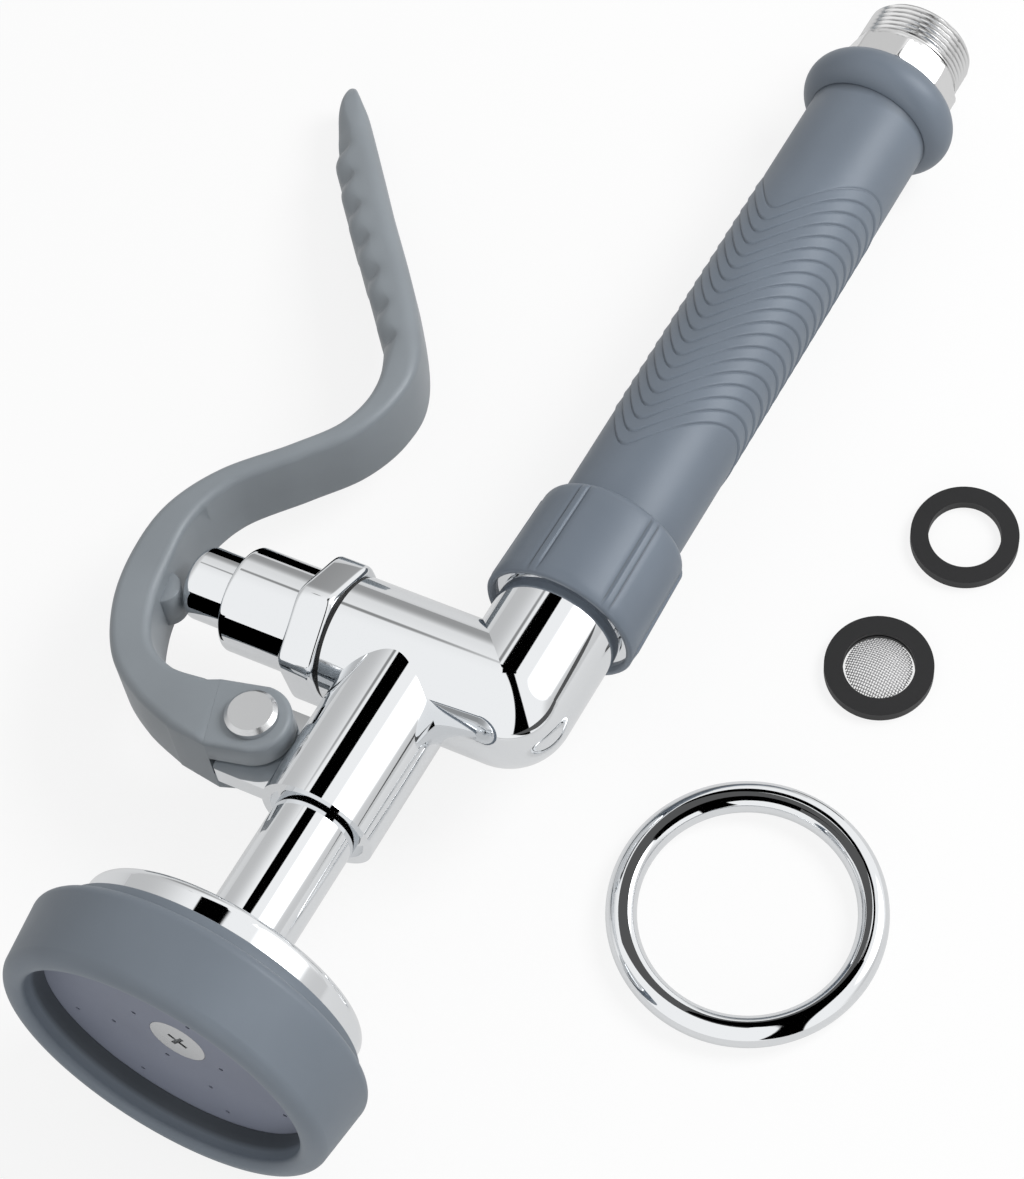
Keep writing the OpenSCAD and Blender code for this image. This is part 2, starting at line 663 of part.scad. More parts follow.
module stem_guide() color([0.72, 0.6, 0.3]) turned_arm() difference() {
    ring_section(stem_d / 2 + run_fit, bonnet_thread_d / 2, guide_y, guide_top_y);
    ring_section(0, stem_d / 2 + run_fit + stem_oring_t, guide_top_y - stem_oring_t - fixed_fit,
        guide_top_y + over);
}

module stem_o_ring() color([0.1, 0.1, 0.1]) turned_arm()
    o_ring_section(stem_d / 2 + run_fit, stem_oring_t - fixed_fit,
        guide_top_y - stem_oring_t / 2 - fixed_fit / 2);

module spring_washer() color([0.7, 0.7, 0.7]) turned_arm()
    ring_section(stem_d / 2 + fixed_fit, spring_washer_d / 2, guide_top_y, spring_foot_y);

// The spring is one wire with an eight-sided section, swept along its turns
module return_spring() {
    wire_r = spring_wire_d / 2;
    coil_r = spring_d / 2 - wire_r;
    foot = spring_foot_y + wire_r + rest_gap;
    rise = spring_top_y - wire_r - rest_gap - foot;
    steps = 24 * spring_turns;
    points = [for (i = [0:steps], k = [0:7])
        let (a = 15 * i, b = 45 * k + 22.5, r = coil_r + wire_r * cos(b))
            [r * cos(a), r * sin(a), foot + rise * i / steps + wire_r * sin(b)]];
    walls = [for (i = [0:steps - 1], k = [0:7])
        let (m = (k + 1) % 8) [8 * i + k, 8 * i + m, 8 * i + 8 + m, 8 * i + 8 + k]];
    ends = [[for (k = [7:-1:0]) k], [for (k = [0:7]) 8 * steps + k]];
    color([0.75, 0.75, 0.76]) translate([arm_x, 0, 0]) rotate([-90, 0, 0])
        polyhedron(points, concat(walls, ends));
}

module seat_ring() color([0.72, 0.6, 0.3]) turned_arm()
    ring_section(seat_bore_d / 2, chamber_d / 2 - fixed_fit, chamber_y, chamber_y + seat_t);

module push_pin() color([0.86, 0.87, 0.88]) turned_arm() difference() {
    union() {
        rounded_section(pin_d / 2, spring_top_y, pin_end_y, pin_round);
        ring_section(0, pin_collar_d / 2, spring_top_y, collar_y);
    }
    ring_section(0, stem_d / 2 + fixed_fit, spring_top_y - over, spring_top_y + stem_depth);
}

module valve_stem() color([0.75, 0.75, 0.76])
    arm_rod(stem_d / 2, stem_end_y, spring_top_y + stem_depth - fixed_fit);

module poppet() color([0.72, 0.6, 0.3]) turned_arm()
    ring_section(stem_d / 2 + fixed_fit, poppet_d / 2, poppet_end_y, poppet_top_y);

module poppet_washer() color([0.1, 0.1, 0.1]) turned_arm()
    ring_section(stem_d / 2 + fixed_fit, poppet_d / 2 - 0.2, poppet_top_y,
        poppet_top_y + poppet_washer_t);

module stem_nut() color([0.7, 0.7, 0.7])
    translate([arm_x, poppet_end_y - stem_nut_t, 0]) rotate([-90, 0, 0])
        linear_extrude(stem_nut_t) difference() {
            hexagon(stem_nut_w);
            circle(d = stem_d + 2 * fixed_fit);
        }

// Outline of the lever seen from above its broad side
module lever_plan() {
    start = lever_reach - taper_len;
    end = lever_reach - tip_w / 2;
    polygon([[-20, -lever_w / 2], [start, -lever_w / 2], [end, -tip_w / 2],
        [end, tip_w / 2], [start, lever_w / 2], [-20, lever_w / 2]]);
    translate([end, 0]) circle(d = tip_w);
}

module lever() color([0.5, 0.54, 0.56]) translate([pivot_x, pivot_y, 0]) difference() {
    union() {
        intersection() {
            translate([0, 0, -lever_w / 2]) linear_extrude(lever_w) {
                polygon(lever_outline);
                circle(r = eye_r);
                translate(flat(spine[len(spine) - 1])) circle(r = tip_round);
            }
            translate([0, plan_top, 0]) rotate([90, 0, 0]) linear_extrude(plan_depth) lever_plan();
        }
        translate([0, 0, -nub_w / 2]) linear_extrude(nub_w) {
            translate([nub_reach, nub_y]) circle(d = nub_d);
            translate([nub_reach - nub_d / 2, nub_y]) square([nub_d, crest_rise - 4 - nub_y]);
        }
    }
    translate([0, 0, -slot_w / 2]) linear_extrude(slot_w) {
        circle(r = slot_r);
        translate([-slot_front, -slot_r]) square([slot_front, slot_r + slot_top]);
        translate([0, -slot_r]) square([2 * slot_r, slot_r]);
    }
    translate([0, 0, -lever_w]) cylinder(d = pivot_d + 2 * run_fit, h = 2 * lever_w);
}

module pivot_screw() color([0.75, 0.75, 0.76]) translate([pivot_x, pivot_y, 0]) rotate_extrude()
    polygon([[0, -lever_w / 2 - pivot_head_t], [pivot_d / 2, -lever_w / 2 - pivot_head_t],
        [pivot_d / 2, lever_w / 2 + fixed_fit],
        [pivot_head_d / 2, lever_w / 2 + fixed_fit],
        [pivot_head_d / 2, lever_w / 2 + pivot_head_t - pivot_chamfer],
        [pivot_head_d / 2 - pivot_chamfer, lever_w / 2 + pivot_head_t],
        [0, lever_w / 2 + pivot_head_t]]);

module pivot_nut() color([0.75, 0.75, 0.76])
    translate([pivot_x, pivot_y, -lever_w / 2 - pivot_head_t]) rotate_extrude()
        polygon([[pivot_d / 2 + fixed_fit, 0], [pivot_head_d / 2 - pivot_chamfer, 0],
            [pivot_head_d / 2, pivot_chamfer], [pivot_head_d / 2, pivot_head_t - fixed_fit],
            [pivot_d / 2 + fixed_fit, pivot_head_t - fixed_fit]]);

module coupling_nut() color([0.86, 0.87, 0.88]) turned_handle() difference() {
    ring_section(handle_tube_d / 2 + move_gap, nut_d / 2, nut_x, nut_end_x);
    ring_section(0, neck_thread_d / 2 + run_fit, nut_x - over, nut_lip_x);
}

module nut_collar() color([0.49, 0.53, 0.57]) difference() {
    union() {
        turned_handle() difference() {
            polygon([[0, collar_x], [collar_front_d / 2, collar_x],
                [collar_back_d / 2, collar_end_x], [0, collar_end_x]]);
            difference() {
                ring_section(collar_back_d / 2 - collar_round, collar_front_d,
                    collar_end_x - collar_round, collar_end_x + over);
                translate([collar_back_d / 2 - collar_round, collar_end_x - collar_round])
                    circle(r = collar_round);
            }
        }
        for (k = [0:collar_ribs - 1]) translate([0, handle_y, 0])
            rotate([360 * k / collar_ribs - 14.5, 0, 0])
                rotate([90, 0, 90]) translate([0, 0, collar_x + 2])
                    linear_extrude(collar_len - 6) translate([-rib_w / 2, 0])
                        square([rib_w, collar_back_d / 2 + rib_h]);
    }
    handle_rod(nut_d / 2 + fixed_fit, collar_x - over, nut_end_x + fixed_fit);
    handle_rod(grip_d / 2 + move_gap, nut_end_x, collar_end_x + over);
}

module coupling_washer() color([0.1, 0.1, 0.1]) turned_handle()
    ring_section(elbow_bore_r + 0.2, flange_d / 2, washer_x, flange_x);

module handle_tube() color([0.72, 0.6, 0.3]) turned_handle() {
    ring_section(handle_bore_d / 2, handle_tube_d / 2, flange_x, handle_end_x);
    ring_section(handle_bore_d / 2, flange_d / 2, flange_x, flange_x + flange_t);
}

module grip_sleeve() color([0.49, 0.54, 0.57]) turned_handle()
    ring_section(handle_tube_d / 2 + fixed_fit, grip_d / 2, grip_x, grip_end_x);

module grip_end_ring() color([0.49, 0.54, 0.57]) turned_handle() difference() {
    translate([ring_mid_r, ring_mid_x]) circle(r = ring_round);
    ring_section(0, handle_tube_d / 2 + fixed_fit, grip_x, hose_end_x);
    ring_section(0, grip_d / 2 + fixed_fit, grip_x, grip_end_x + fixed_fit);
}

module hose_end() color([0.86, 0.87, 0.88]) difference() {
    union() {
        translate([handle_end_x + fixed_fit, handle_y, 0]) rotate([hose_flats_turn, 0, 0])
            rotate([90, 0, 90]) linear_extrude(hose_flats_len - fixed_fit)
                circle(d = hose_flats_w / cos(22.5), $fn = 8);
        handle_rod(hose_thread_d / 2, hose_thread_x - over, hose_end_x);
        handle_rod(handle_bore_d / 2 - fixed_fit, handle_end_x - hose_spigot_len,
            hose_thread_x);
    }
    handle_rod(hose_bore_d / 2, handle_end_x - hose_spigot_len - over, hose_end_x + over);
}

module hold_down_ring() color([0.86, 0.87, 0.88])
    translate([0, 0, hold_wire_d / 2]) rotate_extrude()
        translate([(hold_ring_d - hold_wire_d) / 2, 0]) circle(d = hold_wire_d, $fn = 48);

module hose_washer() color([0.1, 0.1, 0.1]) rotate_extrude()
    ring_section(washer_bore_d / 2, washer_d / 2, 0, washer_t);

groove_depth = 1.2;

module filter_washer() color([0.1, 0.1, 0.1]) rotate_extrude() difference() {
    ring_section(filter_bore_d / 2, washer_d / 2, 0, washer_t);
    ring_section(0, filter_bore_d / 2 + groove_depth,
        washer_t / 2 - filter_mesh_t / 2 - fixed_fit, washer_t / 2 + filter_mesh_t / 2 + fixed_fit);
}

// The mesh: a flat rim in the washer's groove and a domed middle
module filter_screen() color([0.7, 0.7, 0.7]) {
    rim_r = filter_bore_d / 2 - 0.6;
    dome_r = (pow(rim_r, 2) + pow(filter_dome_h, 2)) / (2 * filter_dome_h);
    translate([0, 0, washer_t / 2 - filter_mesh_t / 2]) rotate_extrude() {
        ring_section(rim_r - 0.3, filter_bore_d / 2 + groove_depth - fixed_fit, 0, filter_mesh_t);
        intersection() {
            translate([0, filter_dome_h - dome_r]) difference() {
                circle(r = dome_r + filter_mesh_t);
                circle(r = dome_r);
            }
            square([rim_r + filter_mesh_t, filter_dome_h + 2 * filter_mesh_t]);
        }
    }
}

lay_down() spray_bumper();
lay_down() spray_face();
lay_down() face_screw();
lay_down() face_gasket();
lay_down() spray_cup();
lay_down() outlet_tube();
lay_down() tube_o_ring();
lay_down() valve_body();
lay_down() bonnet();
lay_down() bonnet_gasket();
lay_down() stem_guide();
lay_down() stem_o_ring();
lay_down() spring_washer();
lay_down() return_spring();
lay_down() seat_ring();
lay_down() push_pin();
lay_down() valve_stem();
lay_down() poppet();
lay_down() poppet_washer();
lay_down() stem_nut();
lay_down() lever();
lay_down() pivot_screw();
lay_down() pivot_nut();
lay_down() coupling_nut();
lay_down() nut_collar();
lay_down() coupling_washer();
lay_down() handle_tube();
lay_down() grip_sleeve();
lay_down() grip_end_ring();
lay_down() hose_end();
on_table(hold_ring_at) hold_down_ring();
on_table(washer_at) hose_washer();
on_table(filter_at) filter_washer();
on_table(filter_at) filter_screen();
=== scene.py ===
import bpy
import json
import math
import numpy as np
from mathutils import Matrix, Vector


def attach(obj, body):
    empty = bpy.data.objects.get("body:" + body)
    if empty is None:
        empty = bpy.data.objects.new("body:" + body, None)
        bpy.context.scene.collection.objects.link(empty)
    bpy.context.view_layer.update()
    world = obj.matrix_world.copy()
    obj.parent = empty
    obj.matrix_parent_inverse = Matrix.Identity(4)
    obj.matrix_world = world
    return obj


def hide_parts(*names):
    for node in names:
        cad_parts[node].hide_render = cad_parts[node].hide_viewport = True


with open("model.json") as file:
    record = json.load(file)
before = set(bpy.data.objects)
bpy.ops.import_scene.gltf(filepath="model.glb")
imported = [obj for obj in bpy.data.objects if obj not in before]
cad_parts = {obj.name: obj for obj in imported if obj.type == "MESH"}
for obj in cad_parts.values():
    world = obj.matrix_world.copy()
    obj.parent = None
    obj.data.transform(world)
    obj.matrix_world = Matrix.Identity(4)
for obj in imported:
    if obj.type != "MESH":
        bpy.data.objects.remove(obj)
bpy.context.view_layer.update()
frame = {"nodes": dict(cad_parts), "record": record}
cadNodes = frame["nodes"]
print("frame loaded,", len(cadNodes), "nodes")

# The valve's own axes in millimetres: +X from the spray face to the hose end,
# +Y towards the lever. layOut turns them as the valve lies, and layAt is the origin.
layOut = np.array([
    [0.995974, -0.0128639, 0.0887147],
    [0.0, 0.98965, 0.143502],
    [-0.0896425, -0.142924, 0.985666]])
layAt = np.array([161.021, -9.82553, -43.4302])


def toFrame(points):
    # row = (layOut . local - layAt) / 1000
    return (np.asarray(points, float) @ layOut.T - layAt) / 1000


def shade(red, green, blue):
    # sRGB 0-255 to linear: ((c + 0.055) / 1.055) ^ 2.4
    channels = [((c / 255 + 0.055) / 1.055) ** 2.4 for c in (red, green, blue)]
    return (*channels, 1.0)


def meshFromGrid(name, grid, material, closedAlong=True):
    # grid[i, j] is a point; faces join i to i+1 and j to j+1, and j closes round, so the
    # outside is on the side of (d/dj x d/di). Where i doesn't close round as well, a fan
    # fills the first and the last row.
    rows, columns = grid.shape[:2]
    points = grid.reshape(-1, 3)
    i = np.arange(rows if closedAlong else rows - 1)
    ii, jj = np.meshgrid(i, np.arange(columns), indexing="ij")
    iNext, jNext = (ii + 1) % rows, (jj + 1) % columns
    quads = np.stack([ii * columns + jj, ii * columns + jNext,
                      iNext * columns + jNext, iNext * columns + jj], -1)
    faces = quads.reshape(-1, 4).tolist()
    if not closedAlong:
        points = np.vstack([points, grid[0].mean(0), grid[-1].mean(0)])
        first = np.arange(columns)
        nextOne = (first + 1) % columns
        last = (rows - 1) * columns
        middle = np.full(columns, rows * columns)
        faces += np.stack([nextOne, first, middle], -1).tolist()
        faces += np.stack([first + last, nextOne + last, middle + 1], -1).tolist()
    return meshFromFaces(name, points, faces, material)


def meshFromFaces(name, points, faces, material, local=True):
    mesh = bpy.data.meshes.new(name)
    mesh.from_pydata((toFrame(points) if local else np.asarray(points)).tolist(), [], faces)
    mesh.polygons.foreach_set("use_smooth", np.ones(len(mesh.polygons), bool))
    mesh.update()
    piece = bpy.data.objects.new(name, mesh)
    bpy.context.scene.collection.objects.link(piece)
    mesh.materials.append(material)
    return piece


def joinPieces(name, parts):
    # one piece from several closed surfaces
    with bpy.context.temp_override(active_object=parts[0], selected_editable_objects=parts,
                                   selected_objects=parts):
        bpy.ops.object.join()
    parts[0].name = name
    return parts[0]


def sharpen(piece, degrees):
    # marks the edges over that angle as sharp, so that flat faces stay flat
    piece.data.set_sharp_from_angle(angle=math.radians(degrees))


def roundGrid(x, radius, middleY, angles):
    # point = (x, middleY + r cos a, r sin a), round a line along x
    return np.stack([x, middleY + radius * np.cos(angles), radius * np.sin(angles)], -1)


def evenRows(values, count):
    # a row of count equal values for each value
    return np.repeat(np.asarray(values, float)[:, None], count, 1)


def fullTurn(count):
    return np.linspace(0, 2 * np.pi, count, endpoint=False)


def arc(middleX, middleR, radius, start, end, count):
    # points of a circle in the (x, radius) plane: (x + r cos t, y + r sin t), t in degrees
    t = np.radians(np.linspace(start, end, count))
    return np.stack([middleX + radius * np.cos(t), middleR + radius * np.sin(t)], -1)


surfaceLooks = {
    "chrome": {"colour": shade(236, 238, 240), "rough": 0.035},
    "greyRubber": {"colour": shade(117, 126, 136), "rough": 0.44, "bump": 0.00003},
    "greyGrip": {"colour": shade(111, 121, 133), "rough": 0.4, "bump": 0.00002},
    "greyLever": {"colour": shade(143, 150, 156), "rough": 0.38, "bump": 0.00002},
    "facePlastic": {"colour": shade(130, 135, 150), "rough": 0.5, "bump": 0.00002},
    "satinSteel": {"colour": shade(212, 213, 214), "rough": 0.26},
    "meshSteel": {"colour": shade(176, 176, 178), "rough": 0.3},
    "nickel": {"colour": shade(232, 232, 232), "rough": 0.16},
    "brass": {"colour": shade(196, 160, 92), "rough": 0.25},
    "blackRubber": {"colour": shade(34, 34, 35), "rough": 0.5, "bump": 0.00002},
}


def newMaterial(name):
    material = bpy.data.materials.new(name)
    material.use_nodes = True
    tree = material.node_tree
    return material, tree, tree.nodes["Principled BSDF"]


def noiseOn(tree, scale, detail):
    # a noise on Object coordinates, in metres
    place = tree.nodes.new("ShaderNodeTexCoord")
    noise = tree.nodes.new("ShaderNodeTexNoise")
    noise.inputs["Scale"].default_value = scale
    noise.inputs["Detail"].default_value = detail
    tree.links.new(place.outputs["Object"], noise.inputs["Vector"])
    return noise


def mathNode(tree, operation, first, second=None, third=None):
    node = tree.nodes.new("ShaderNodeMath")
    node.operation = operation
    for k, value in enumerate((first, second, third)):
        if value is None:
            continue
        if hasattr(value, "is_linked"):
            tree.links.new(value, node.inputs[k])
        else:
            node.inputs[k].default_value = value
    return node.outputs[0]


def mixShaders(tree, share, first, second):
    mix = tree.nodes.new("ShaderNodeMixShader")
    tree.links.new(share, mix.inputs["Fac"])
    tree.links.new(first, mix.inputs[1])
    tree.links.new(second, mix.inputs[2])
    return mix.outputs["Shader"]


def rampOf(tree, source, stops):
    # a ramp between two stops of (place, colour)
    ramp = tree.nodes.new("ShaderNodeValToRGB")
    for element, (place, colour) in zip(ramp.color_ramp.elements, stops):
        element.position = place
        element.color = colour
    tree.links.new(source, ramp.inputs["Fac"])
    return ramp


def toned(tree, colour):
    # colour * (1 - s), where s is a point's own attribute of painted shade, negative where light
    # is painted, and 0 if it has none
    paintedShadeAndLight = tree.nodes.new("ShaderNodeAttribute")
    paintedShadeAndLight.attribute_name = "paintedShadeAndLight"
    share = mathNode(tree, "SUBTRACT", 1.0, paintedShadeAndLight.outputs["Fac"])
    mix = tree.nodes.new("ShaderNodeVectorMath")
    mix.operation = "SCALE"
    tree.links.new(colour, mix.inputs[0])
    tree.links.new(share, mix.inputs["Scale"])
    return mix.outputs["Vector"]


# stores a point attribute of painted shade for toned; negative values paint light
def setPaintedShadeAndLight(piece, values):
    attribute = piece.data.attributes.new("paintedShadeAndLight", "FLOAT", "POINT")
    attribute.data.foreach_set("value", np.asarray(values, np.float32).ravel())


def scaled(colour, amount):
    return (*[min(1, c * amount) for c in colour[:3]], 1)


def wanderRough(tree, shader, scale, low, high):
    span = tree.nodes.new("ShaderNodeMapRange")
    span.inputs["To Min"].default_value = low
    span.inputs["To Max"].default_value = high
    tree.links.new(noiseOn(tree, scale, 3).outputs["Fac"], span.inputs["Value"])
    tree.links.new(span.outputs["Result"], shader.inputs["Roughness"])


def fineBump(tree, shader, height, strength, distance):
    bump = tree.nodes.new("ShaderNodeBump")
    bump.inputs["Strength"].default_value = strength
    bump.inputs["Distance"].default_value = distance
    tree.links.new(height.outputs["Fac"], bump.inputs["Height"])
    tree.links.new(bump.outputs["Normal"], shader.inputs["Normal"])


softGrain = {"spread": 0.05, "clouds": 45, "roughScale": 120, "smoother": 0.05,
             "rougher": 0.07, "grain": 2160, "strength": 0.35}
metalGrain = {"darkest": 0.985, "tintShare": 0.4, "leastRough": 0.01, "strength": 0.3}


def softMaterial(name, look, specular):
    # moulded rubber or plastic: a faint cloudy colour, a fine grain in the bump
    # and a roughness that wanders a little
    s = softGrain
    material, tree, shader = newMaterial(name)
    clouds = noiseOn(tree, s["clouds"], 4)
    ramp = rampOf(tree, clouds.outputs["Fac"], [
        (0.3, scaled(look["colour"], 1 - s["spread"])),
        (0.7, scaled(look["colour"], 1 + s["spread"]))])
    tree.links.new(toned(tree, ramp.outputs["Color"]), shader.inputs["Base Color"])
    wanderRough(tree, shader, s["roughScale"], look["rough"] - s["smoother"],
                look["rough"] + s["rougher"])
    fineBump(tree, shader, noiseOn(tree, s["grain"], 2), s["strength"], look["bump"])
    shader.inputs["Specular IOR Level"].default_value = specular
    return material


def metalMaterial(name, look, roughSpread, scale, bumpDistance=0.0, bumpScale=0):
    # plated or bare metal: the roughness wanders by roughSpread, and a fine noise moves
    # the normal where bumpDistance is given
    m = metalGrain
    material, tree, shader = newMaterial(name)
    shader.inputs["Metallic"].default_value = 1.0
    tint = noiseOn(tree, scale * m["tintShare"], 2)
    ramp = rampOf(tree, tint.outputs["Fac"], [
        (0.35, scaled(look["colour"], m["darkest"])), (0.65, look["colour"])])
    tree.links.new(toned(tree, ramp.outputs["Color"]), shader.inputs["Base Color"])
    wanderRough(tree, shader, scale, max(m["leastRough"], look["rough"] - roughSpread),
                look["rough"] + roughSpread)
    if bumpDistance:
        fineBump(tree, shader, noiseOn(tree, bumpScale, 3), m["strength"], bumpDistance)
    return material


chrome = metalMaterial("polishedChrome", surfaceLooks["chrome"], 0.012, 40)
greyRubber = softMaterial("bumperRubber", surfaceLooks["greyRubber"], 0.5)
greyGrip = softMaterial("gripRubber", surfaceLooks["greyGrip"], 0.6)
greyLever = softMaterial("leverCover", surfaceLooks["greyLever"], 0.6)
facePlastic = softMaterial("sprayFacePlastic", surfaceLooks["facePlastic"], 0.35)
blackRubber = softMaterial("washerRubber", surfaceLooks["blackRubber"], 0.4)
satinSteel = metalMaterial("satinSteel", surfaceLooks["satinSteel"], 0.05, 90, 0.00001, 900)
nickel = metalMaterial("turnedNickel", surfaceLooks["nickel"], 0.04, 90, 0.000006, 700)
meshSteel = metalMaterial("meshSteel", surfaceLooks["meshSteel"], 0.05, 90)
brass = metalMaterial("turnedBrass", surfaceLooks["brass"], 0.05, 90)
print("materials made")

slotMaterials = {
    "chrome": chrome, "grey_rubber": greyRubber, "grey_lever": greyLever,
    "face_plastic": facePlastic, "satin_steel": satinSteel, "nickel": nickel,
    "brass": brass, "black_rubber": blackRubber}
ownMaterials = {"grip_sleeve": greyGrip, "grip_end_ring": greyGrip, "nut_collar": greyGrip}
for part in frame["record"]["subparts"]:
    node = cadNodes[part["node"]]
    material = ownMaterials.get(part["node"], slotMaterials[part["material_slot"]])
    if not node.data.materials:
        node.data.materials.append(material)
    for slot in node.material_slots:
        slot.material = material

grip = {"middleY": -24.2, "radius": 15.5, "bore": 12.5, "start": 158.3, "end": 300.4,
        "firstTrough": 177.6, "lastTrough": 254.4, "ribs": 20, "wave": 19.0, "waveSoft": 0.15,
        "troughAngle": 76.0, "ribHeight": 0.33, "toothPower": 1.5, "grooveDepth": 0.38,
        "grooveWide": 0.24, "faint": 0.5, "faintAt": 24.0, "faintWide": 13.0, "inset": 0.12,
        "creaseAt": 295.0, "creaseOver": 2.0, "creasePaintedShade": 0.6, "around": 176, "plainRows": 14}


def makeGrip():
    # a rib line is x = trough + wave * g(a), g = (sqrt(sin^2 + e^2) - e) / (sqrt(1 + e^2) - e),
    # with two waves round the grip. Between two lines the radius falls like a saw's tooth.
    g = grip
    angles = fullTurn(g["around"])
    fromTrough = angles - math.radians(g["troughAngle"])
    e = g["waveSoft"]
    wave = g["wave"] * (np.sqrt(np.sin(fromTrough) ** 2 + e * e) - e) / (math.sqrt(1 + e * e) - e)
    lastRib = g["ribs"] - 1
    pitch = (g["lastTrough"] - g["firstTrough"]) / lastRib
    # rows in pitches from the first rib, closer at the grooves
    inside = np.array([0.0, 0.05, 0.1, 0.17, 0.28, 0.42, 0.58, 0.72, 0.84, 0.92, 0.96])
    lead = np.array([-0.5, -0.3, -0.16, -0.08, -0.04])
    t = (np.arange(lastRib)[:, None] + inside[None, :]).ravel()
    t = np.concatenate([lead, t, [lastRib], lastRib - lead[::-1]])
    toNearest = np.abs(t - np.clip(np.round(t), 0, lastRib)) * pitch
    groove = g["grooveDepth"] * np.exp(-(toNearest / g["grooveWide"]) ** 2)
    within = (t >= 0) & (t <= lastRib)
    tooth = np.where(within, g["ribHeight"] * (1 - (t - np.floor(t))) ** g["toothPower"], 0)
    # the ribs are faint where the lines climb from trough to crest
    turn = np.degrees(fromTrough) % 180
    strength = 1 - g["faint"] * np.exp(-((turn - g["faintAt"]) / g["faintWide"]) ** 2)
    lift = (tooth - groove)[:, None] * strength[None, :]
    xRib = g["firstTrough"] + pitch * t[:, None] + wave[None, :]
    # plain rows before and after the ribs, and two rows in the bore
    k = np.linspace(0, 1, g["plainRows"], endpoint=False)[:, None]
    xStart = g["start"] + k * (xRib[:1] - g["start"])
    xEnd = xRib[-1:] + (1 - k[::-1]) * (g["end"] - xRib[-1:])
    plain = np.zeros((g["plainRows"], g["around"]))
    x = np.vstack([xStart, xRib, xEnd, evenRows([g["end"], g["start"]], g["around"])])
    r = g["radius"] + np.vstack([plain, lift, plain]) - g["inset"]
    r = np.vstack([r, evenRows([g["bore"], g["bore"]], g["around"])])
    piece = meshFromGrid("gripRibbed", roundGrid(x, r, g["middleY"], angles), greyGrip)
    # painted shade: darker in the crease at the end ring
    setPaintedShadeAndLight(piece, np.clip((x - g["creaseAt"]) / g["creaseOver"], 0, 1) * g["creasePaintedShade"])
    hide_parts("grip_sleeve")
    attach(piece, "valve")


makeGrip()
print("grip made")

collar = {"middleY": -24.2, "start": 135.6, "end": 163.6, "nutEnd": 157.8, "front": 19.0,
          "back": 18.3, "inset": 0.05, "chamfer": 0.45, "round": 2.4, "nutBore": 17.4,
          "gripBore": 15.9, "boreRise": 0.35, "boreRun": 0.15, "ribs": 6, "turn": 75.5,
          "ribAt": (1.6, 1.35, 1.15, 0.95, 0.75, 0.6, 0.2),
          "ribRise": (0, -0.16, -0.2, -0.06, 0.3, 0.36, 0.36),
          "grooveUnder": -0.1, "groovePaintedShade": 0.4, "rimPaintedHighlight": -0.5}


def makeCollar():
    # a slightly tapered sleeve with six low ribs along it. Round one rib the radius goes
    # down into a groove, up a flank and over the rib's flat top.
    c = collar
    off, rise = np.array(c["ribAt"]), np.array(c["ribRise"])
    off = np.concatenate([-off, off[::-1]]) / c["front"]
    rise = np.concatenate([rise, rise[::-1]])
    step = 2 * np.pi / c["ribs"]
    between = np.linspace(off[-1], step + off[0], 12)[1:-1]
    one = np.concatenate([off, between])
    a = math.radians(c["turn"]) + (one[None, :] + step * np.arange(c["ribs"])[:, None]).ravel()
    height = np.tile(np.concatenate([rise, 0 * between]), c["ribs"])
    long = np.linspace(c["start"] + 0.5, c["end"] - c["round"], 10)
    taper = (c["back"] - c["front"]) * (long - c["start"]) / (c["end"] - c["start"])
    outer = np.stack([long, c["front"] + taper - c["inset"]], -1)
    edge = arc(c["end"] - c["round"], c["back"] - c["inset"] - c["round"], c["round"], 84, 12, 9)
    profile = np.vstack([[[c["start"], c["front"] - c["chamfer"]]], outer, edge,
                         [[c["end"], c["gripBore"] + c["boreRise"]],
                          [c["end"] - c["boreRun"], c["gripBore"]],
                          [c["nutEnd"], c["gripBore"]], [c["nutEnd"], c["nutBore"]],
                          [c["start"], c["nutBore"]]]])
    # the ribs begin behind the front edge and run out over the round edge
    share = np.concatenate([[0, 0], np.ones(9), [0.9, 0.7, 0.45, 0.2]])
    share = np.append(share, np.zeros(len(profile) - len(share)))[:, None]
    r = profile[:, 1:] + share * height[None, :]
    x = profile[:, :1] + 0 * r
    piece = meshFromGrid("collarRibbed", roundGrid(x, r, c["middleY"], a), greyGrip)
    # painted shade in the grooves and a painted highlight on the rim: the round edge's last two
    # rows and the next
    paintedShadeAndLight = np.where(height < c["grooveUnder"], c["groovePaintedShade"], 0)[None, :] * share
    rimFrom = len(outer) + len(edge) - 1
    paintedShadeAndLight[rimFrom:rimFrom + 3] = c["rimPaintedHighlight"]
    setPaintedShadeAndLight(piece, paintedShadeAndLight)
    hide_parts("nut_collar")
    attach(piece, "coupling")


bumper = {"rimAt": (1.52, 36.8), "rimRound": 4.0, "innerRound": 2.1, "backAt": (14.4, 39.87),
          "backRound": 2.4, "leanShare": 0.72, "face": 5.8, "faceRadius": 33.8,
          "wallFrom": (4.0, 34.03), "wallGap": (0.4, 0.03), "bore": 35.1, "neck": (16.8, 37.9),
          "neckRound": 0.5, "lip": 37.4, "end": 20.2, "lipEdge": 0.3, "boreEdge": 0.2,
          "darkInside": 34.8, "darkFrom": 1.2, "darkOver": 1.6, "wallPaintedShade": 0.7, "around": 180}


